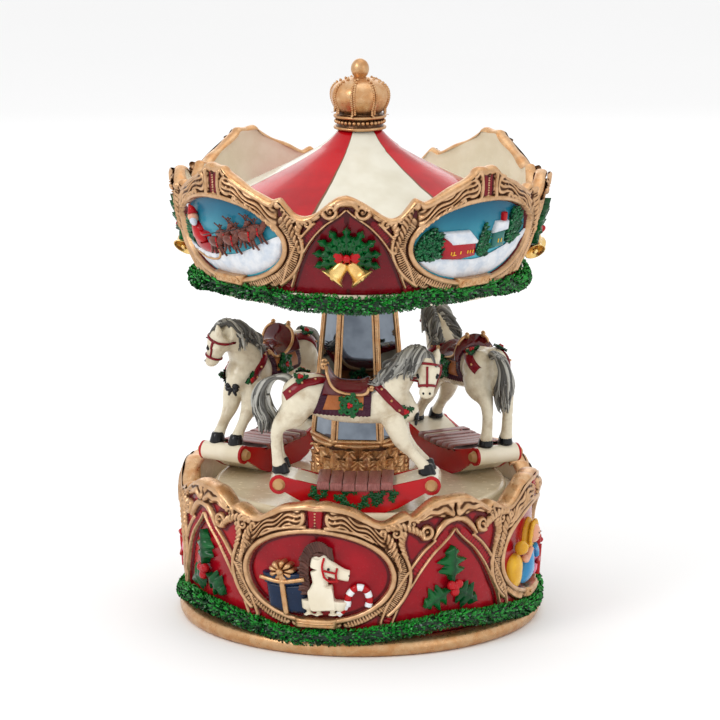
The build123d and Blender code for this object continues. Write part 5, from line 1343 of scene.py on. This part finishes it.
toys = Form()
TOY_PAINTS = [NAVY, SOFT_GOLD, CREAM, BROWN, BRIGHT_RED, WHITE, BLACK, YELLOW, SKIN, PINK, BLUE]
block(toys, [(-16.6, 22.2), (-15.6, 13.8), (-9.6, 12.2), (-3.2, 12.6), (-2.8, 22.6), (-9, 21.6)], 2.6, 0)
block(toys, [(-17.6, 24.8), (-17.0, 21.4), (-10, 20.8), (-2.6, 22.0), (-3.4, 25.8), (-10, 25.2)], 3.2, 0)
rod(toys, [(-10.4, 25.6), (-9.9, 20.6), (-9.0, 12.4)], 0.9, 1, 1.9)
rod(toys, [(-17.2, 23.4), (-10.2, 22.6), (-3.0, 24.0)], 0.7, 1, 2.2)
for k in range(9):
    a = math.radians(k * 40 + 8)
    c, s = math.cos(a), math.sin(a)
    loop = [(0, 0), (3.4 * c - 1.0 * s, 2.6 * s + 0.8 * c), (4.4 * c, 3.4 * s), (3.4 * c + 1.0 * s, 2.6 * s - 0.8 * c)]
    plate(toys, [(x - 10.4, y + 25.8) for x, y in loop], 1.8, 1, 0.7 + 0.25 * (k % 2))
toys.ball((-10.4, -2.9, 25.8), 1.1, 1, rings=8, sides=12)
pony = Form()
for line, steps, at, radii in (
    ([(-1.4, -0.4, 17.4), (2.2, -0.6, 18.0), (5.6, -0.4, 18.4)], 12, [0, 0.5, 1], [3.9, 4.0, 4.1]),
    ([(0.8, -0.4, 18.6), (1.6, -0.6, 23.0), (1.0, -0.6, 27.2), (1.6, -0.7, 30.4)], 14, [0, 0.5, 1], [3.2, 2.5, 2.7]),
    ([(1.4, -0.8, 30.0), (4.6, -1.0, 27.6), (8.4, -1.1, 26.0), (10.4, -1.1, 25.6)], 14, [0, 0.4, 0.8, 1],
     [2.8, 2.5, 1.9, 1.8]),
):
    pony.limb(line, steps, at, radii, sides=14)
for u, w, z in ((-2.4, 1.9, 12.6), (0.8, 1.8, 12.6), (5.0, 1.9, 12.8), (7.4, 1.7, 13.2)):
    pony.tube([(u + 0.2, -0.4, 17.4), (u, -0.4, 14.6), (u + 0.1, -0.4, z)], (2.4, w, w), sides=10)
pony.tube([(0.6, -0.6, 31.0), (0.4, -0.8, 34.0)], (1.1, 0.2), sides=8)
pony.tube([(2.4, -0.6, 31.2), (2.8, -0.8, 33.8)], (1.0, 0.2), sides=8)
points, quads = melt(pony, 0.3, 5)
points[:, 1] = np.clip(points[:, 1], -2.6, 0.95)
toys.patch(points, quads, 2)
mane = curve([(4.8, 31.2), (1.8, 33.8), (-1.6, 32.6), (-2.6, 28.0), (-2.2, 21.0)], 30)
for k, (u, z) in enumerate(mane):
    x, y = 0.9 - 2.6 * k / 29, 2.9 - 3.2 * k / 29
    line = [(u + 0.6, z - 0.9), (u + x * 0.3, z + y * 0.3), (u + x - 0.9, z + y)]
    rod(toys, line, 0.52, 3, 1.1 + rng.uniform(0, 0.9), wash=rng.uniform(0.3, 1))
    line = [(u + 0.8, z - 1.4), (u - 2.0 - rng.uniform(0, 0.9), z - 1.9)]
    rod(toys, line, 0.5, 3, 0.7 + rng.uniform(0, 0.6), wash=rng.uniform(0.3, 1))
for line in ([(3.2, 31.4), (2.6, 28.4), (3.2, 25.2)], [(7.0, 28.4), (6.6, 26.0), (7.0, 23.9)],
             [(3.0, 27.4), (6.8, 26.6)], [(3.2, 25.4), (4.6, 24.2), (6.8, 24.2)]):
    rod(toys, line, 0.34, 4, 3.0)
toys.ball((4.5, -3.3, 28.0), 0.45, 6, rings=7, sides=9)
toys.ball((10.4, -2.6, 26.0), 0.25, 6, rings=6, sides=8)
cane = curve([(9.6, 15.8), (10.2, 19.2), (12.4, 21.6), (15.2, 21.0), (16.4, 18.0), (16.0, 15.6)], 36)
for k in range(9):
    rod(toys, cane[4 * k : 4 * k + 5 if k < 8 else 36], 1.15, 4 if k % 2 else 5, 0.3, steps=6)
cane = curve([(6.8, 12.9), (8.2, 14.2), (9.4, 16.0)], 13)
for k in range(3):
    rod(toys, cane[4 * k : 4 * k + 5], 1.0, 4 if k % 2 else 5, 0.3, steps=6)

doll = Form()
plate(doll, [(-4, 32.6), (-7.2, 29.6), (-7.6, 24), (-4.6, 21.6), (-0.6, 22.4), (2.4, 25), (2.0, 30), (-0.8, 33)],
      2.4, 7)
doll.ball((-2.6, -1.2, 28.4), 3.0, 8, stretch=(1, 0.75, 1.05), rings=12, sides=18)
for k in range(12):
    a = math.radians(-100 + k * 17)
    x, z = math.sin(a), math.cos(a)
    lock = [(2.4 * x, 28.8 + 2.4 * z), (4.0 * x, 28.4 + 4.0 * z), (4.6 * math.sin(a * 1.05), 26.4 + 4.2 * z)]
    rod(doll, [(u - 2.6, v) for u, v in lock], 0.6, 7, 1.5)
plate(doll, [(-4.2, 25.2), (-8.6, 15.4), (-6, 12.6), (0, 12.2), (4.4, 13.4), (3.2, 18), (-0.8, 25.2)], 2.8, 10)
rod(doll, [(-4.6, 24), (-8.4, 21.2), (-10.2, 22.6)], 1.0, 8, 1.2)
rod(doll, [(-0.8, 24), (2.8, 21.6), (4.4, 19.4)], 1.0, 10, 1.4)
for u in (-3.5, -1.7):
    doll.ball((u, -3.3, 28.8), 0.28, 6, rings=6, sides=8)
rod(doll, [(-3.4, 27.2), (-2.6, 26.9), (-1.8, 27.2)], 0.16, 4, 3.3)
block(doll, [(3.6, 12.8), (3.2, 21.4), (9.2, 22.4), (14.0, 20.8), (13.4, 12.8), (9, 11.8)], 2.8, 9)
rod(doll, [(8.6, 21.8), (8.4, 12.2)], 0.8, 4, 1.9)
rod(doll, [(3.4, 17.4), (8.6, 17.8), (13.6, 17.2)], 0.7, 4, 1.9)
bow(doll, 8.6, 23.2, 2.4, 4, 2.0)
plate(doll, [(-17.4, 14.4), (-18.0, 22), (-13.4, 24.4), (-9.8, 21.4), (-10.4, 14), (-14, 12.6)], 2.6, 7)
doll.ball((-14.0, -1.6, 26.4), 2.2, 7, rings=10, sides=14)

for form in (village, sleigh):
    block(form, [(-7.2, 111.0), (-7.6, 114.2), (7.6, 114.2), (7.2, 111.0)], 2.6, 10, base=-0.1)
    for u in (-5.2, -2.6, 0, 2.6, 5.2):
        rod(form, [(u - 1.0, 112.2), (u, 113.4), (u + 1.0, 112.2)], 0.3, 10, 2.4)
for form in (toys, doll):
    block(form, [(-6.6, 8.4), (-7.0, 11.6), (7.0, 11.6), (6.6, 8.4)], 2.6, 1, base=-0.1)
    rod(form, [(-5.6, 10.3), (0, 10.0), (5.6, 10.3)], 0.35, 1, 2.4)
for form, name, paints, on_canopy, node, slot, sides, first in (
    (village, "village_scene", SCENE_PAINTS, True, "scene_plaques", "painted_scenes", QUARTERS[1::2], CANOPY_TURN - 90),
    (sleigh, "sleigh_scene", SCENE_PAINTS, True, "scene_plaques", "painted_scenes", QUARTERS[::2], CANOPY_TURN - 90),
    (bells, "bell_spray", [HOLLY, BELL_GOLD, BRIGHT_RED], True, "bell_appliques", "bell_gold", QUARTERS, 10),
    (holly, "holly_spray", [HOLLY, BERRY], False, "holly_reliefs", "painted_holly", QUARTERS, 45),
    (toys, "toy_group", TOY_PAINTS, False, "toy_reliefs", "painted_toys", QUARTERS[::2], 0),
    (doll, "doll_group", TOY_PAINTS, False, "toy_reliefs", "painted_toys", QUARTERS[1::2], 0),
):
    wall, body = (CANOPY, "carousel") if on_canopy else (BASE, "base")
    for side in sides:
        move = onto(wall, first + 90 * QUARTERS.index(side))
        form.moved(move).build(f"{name}_{side}", paints, body, [node], slot)


# ------------------------------------------------------------------ floor, light and camera
def lamp(name, place, size, power):
    """Soft rectangular light aimed at the object's middle."""
    data = bpy.data.lights.new(name, "AREA")
    data.shape = "RECTANGLE"
    data.size, data.size_y = size
    data.energy = power
    item = bpy.data.objects.new(name, data)
    objects.link(item)
    item.location = place
    item.rotation_euler = (Vector((0, 0, 0.085)) - Vector(place)).to_track_quat("-Z", "Y").to_euler()


floor_mesh = bpy.data.meshes.new("floor")
floor_mesh.from_pydata([(-4, -4, 0), (4, -4, 0), (4, 4, 0), (-4, 4, 0)], [], [(0, 1, 2, 3)])
floor = bpy.data.objects.new("floor", floor_mesh)
objects.link(floor)
paper = Paint("white_floor", rough=0.9)
paper.colour(paper.mix(paper.noise(300.0, 1), (0.93, 0.93, 0.93), (0.95, 0.95, 0.95)))
floor_mesh.materials.append(paper.m)

world = bpy.data.worlds.new("studio")
world.use_nodes = True
world.node_tree.nodes["Background"].inputs["Color"].default_value = (1, 1, 1, 1)
world.node_tree.nodes["Background"].inputs["Strength"].default_value = 0.97
bpy.context.scene.world = world
lamp("key_light", (-0.55, -0.75, 0.75), (0.4, 0.5), 3.2)
lamp("fill_light", (0.85, -0.45, 0.35), (0.5, 0.7), 0.7)
lamp("top_light", (0.05, 0.15, 1.0), (0.7, 0.7), 1.2)
lamp("rear_light", (-0.3, 0.9, 0.5), (0.8, 0.5), 1.0)

camera_data = bpy.data.cameras.new("camera")
camera_data.lens, camera_data.sensor_width = 170.7, 36.0
camera_data.clip_end = 20
camera = bpy.data.objects.new("camera", camera_data)
objects.link(camera)
swing, rise, distance = math.radians(14.0), math.radians(12.0), 1.07
target = Vector((0, 0, 0.080))
aim = Vector((math.sin(swing) * math.cos(rise), -math.cos(swing) * math.cos(rise), math.sin(rise)))
camera.location = target + distance * aim
camera.rotation_euler = (target - camera.location).to_track_quat("-Z", "Y").to_euler()
bpy.context.scene.camera = camera
bpy.context.scene.view_settings.view_transform = "Standard"
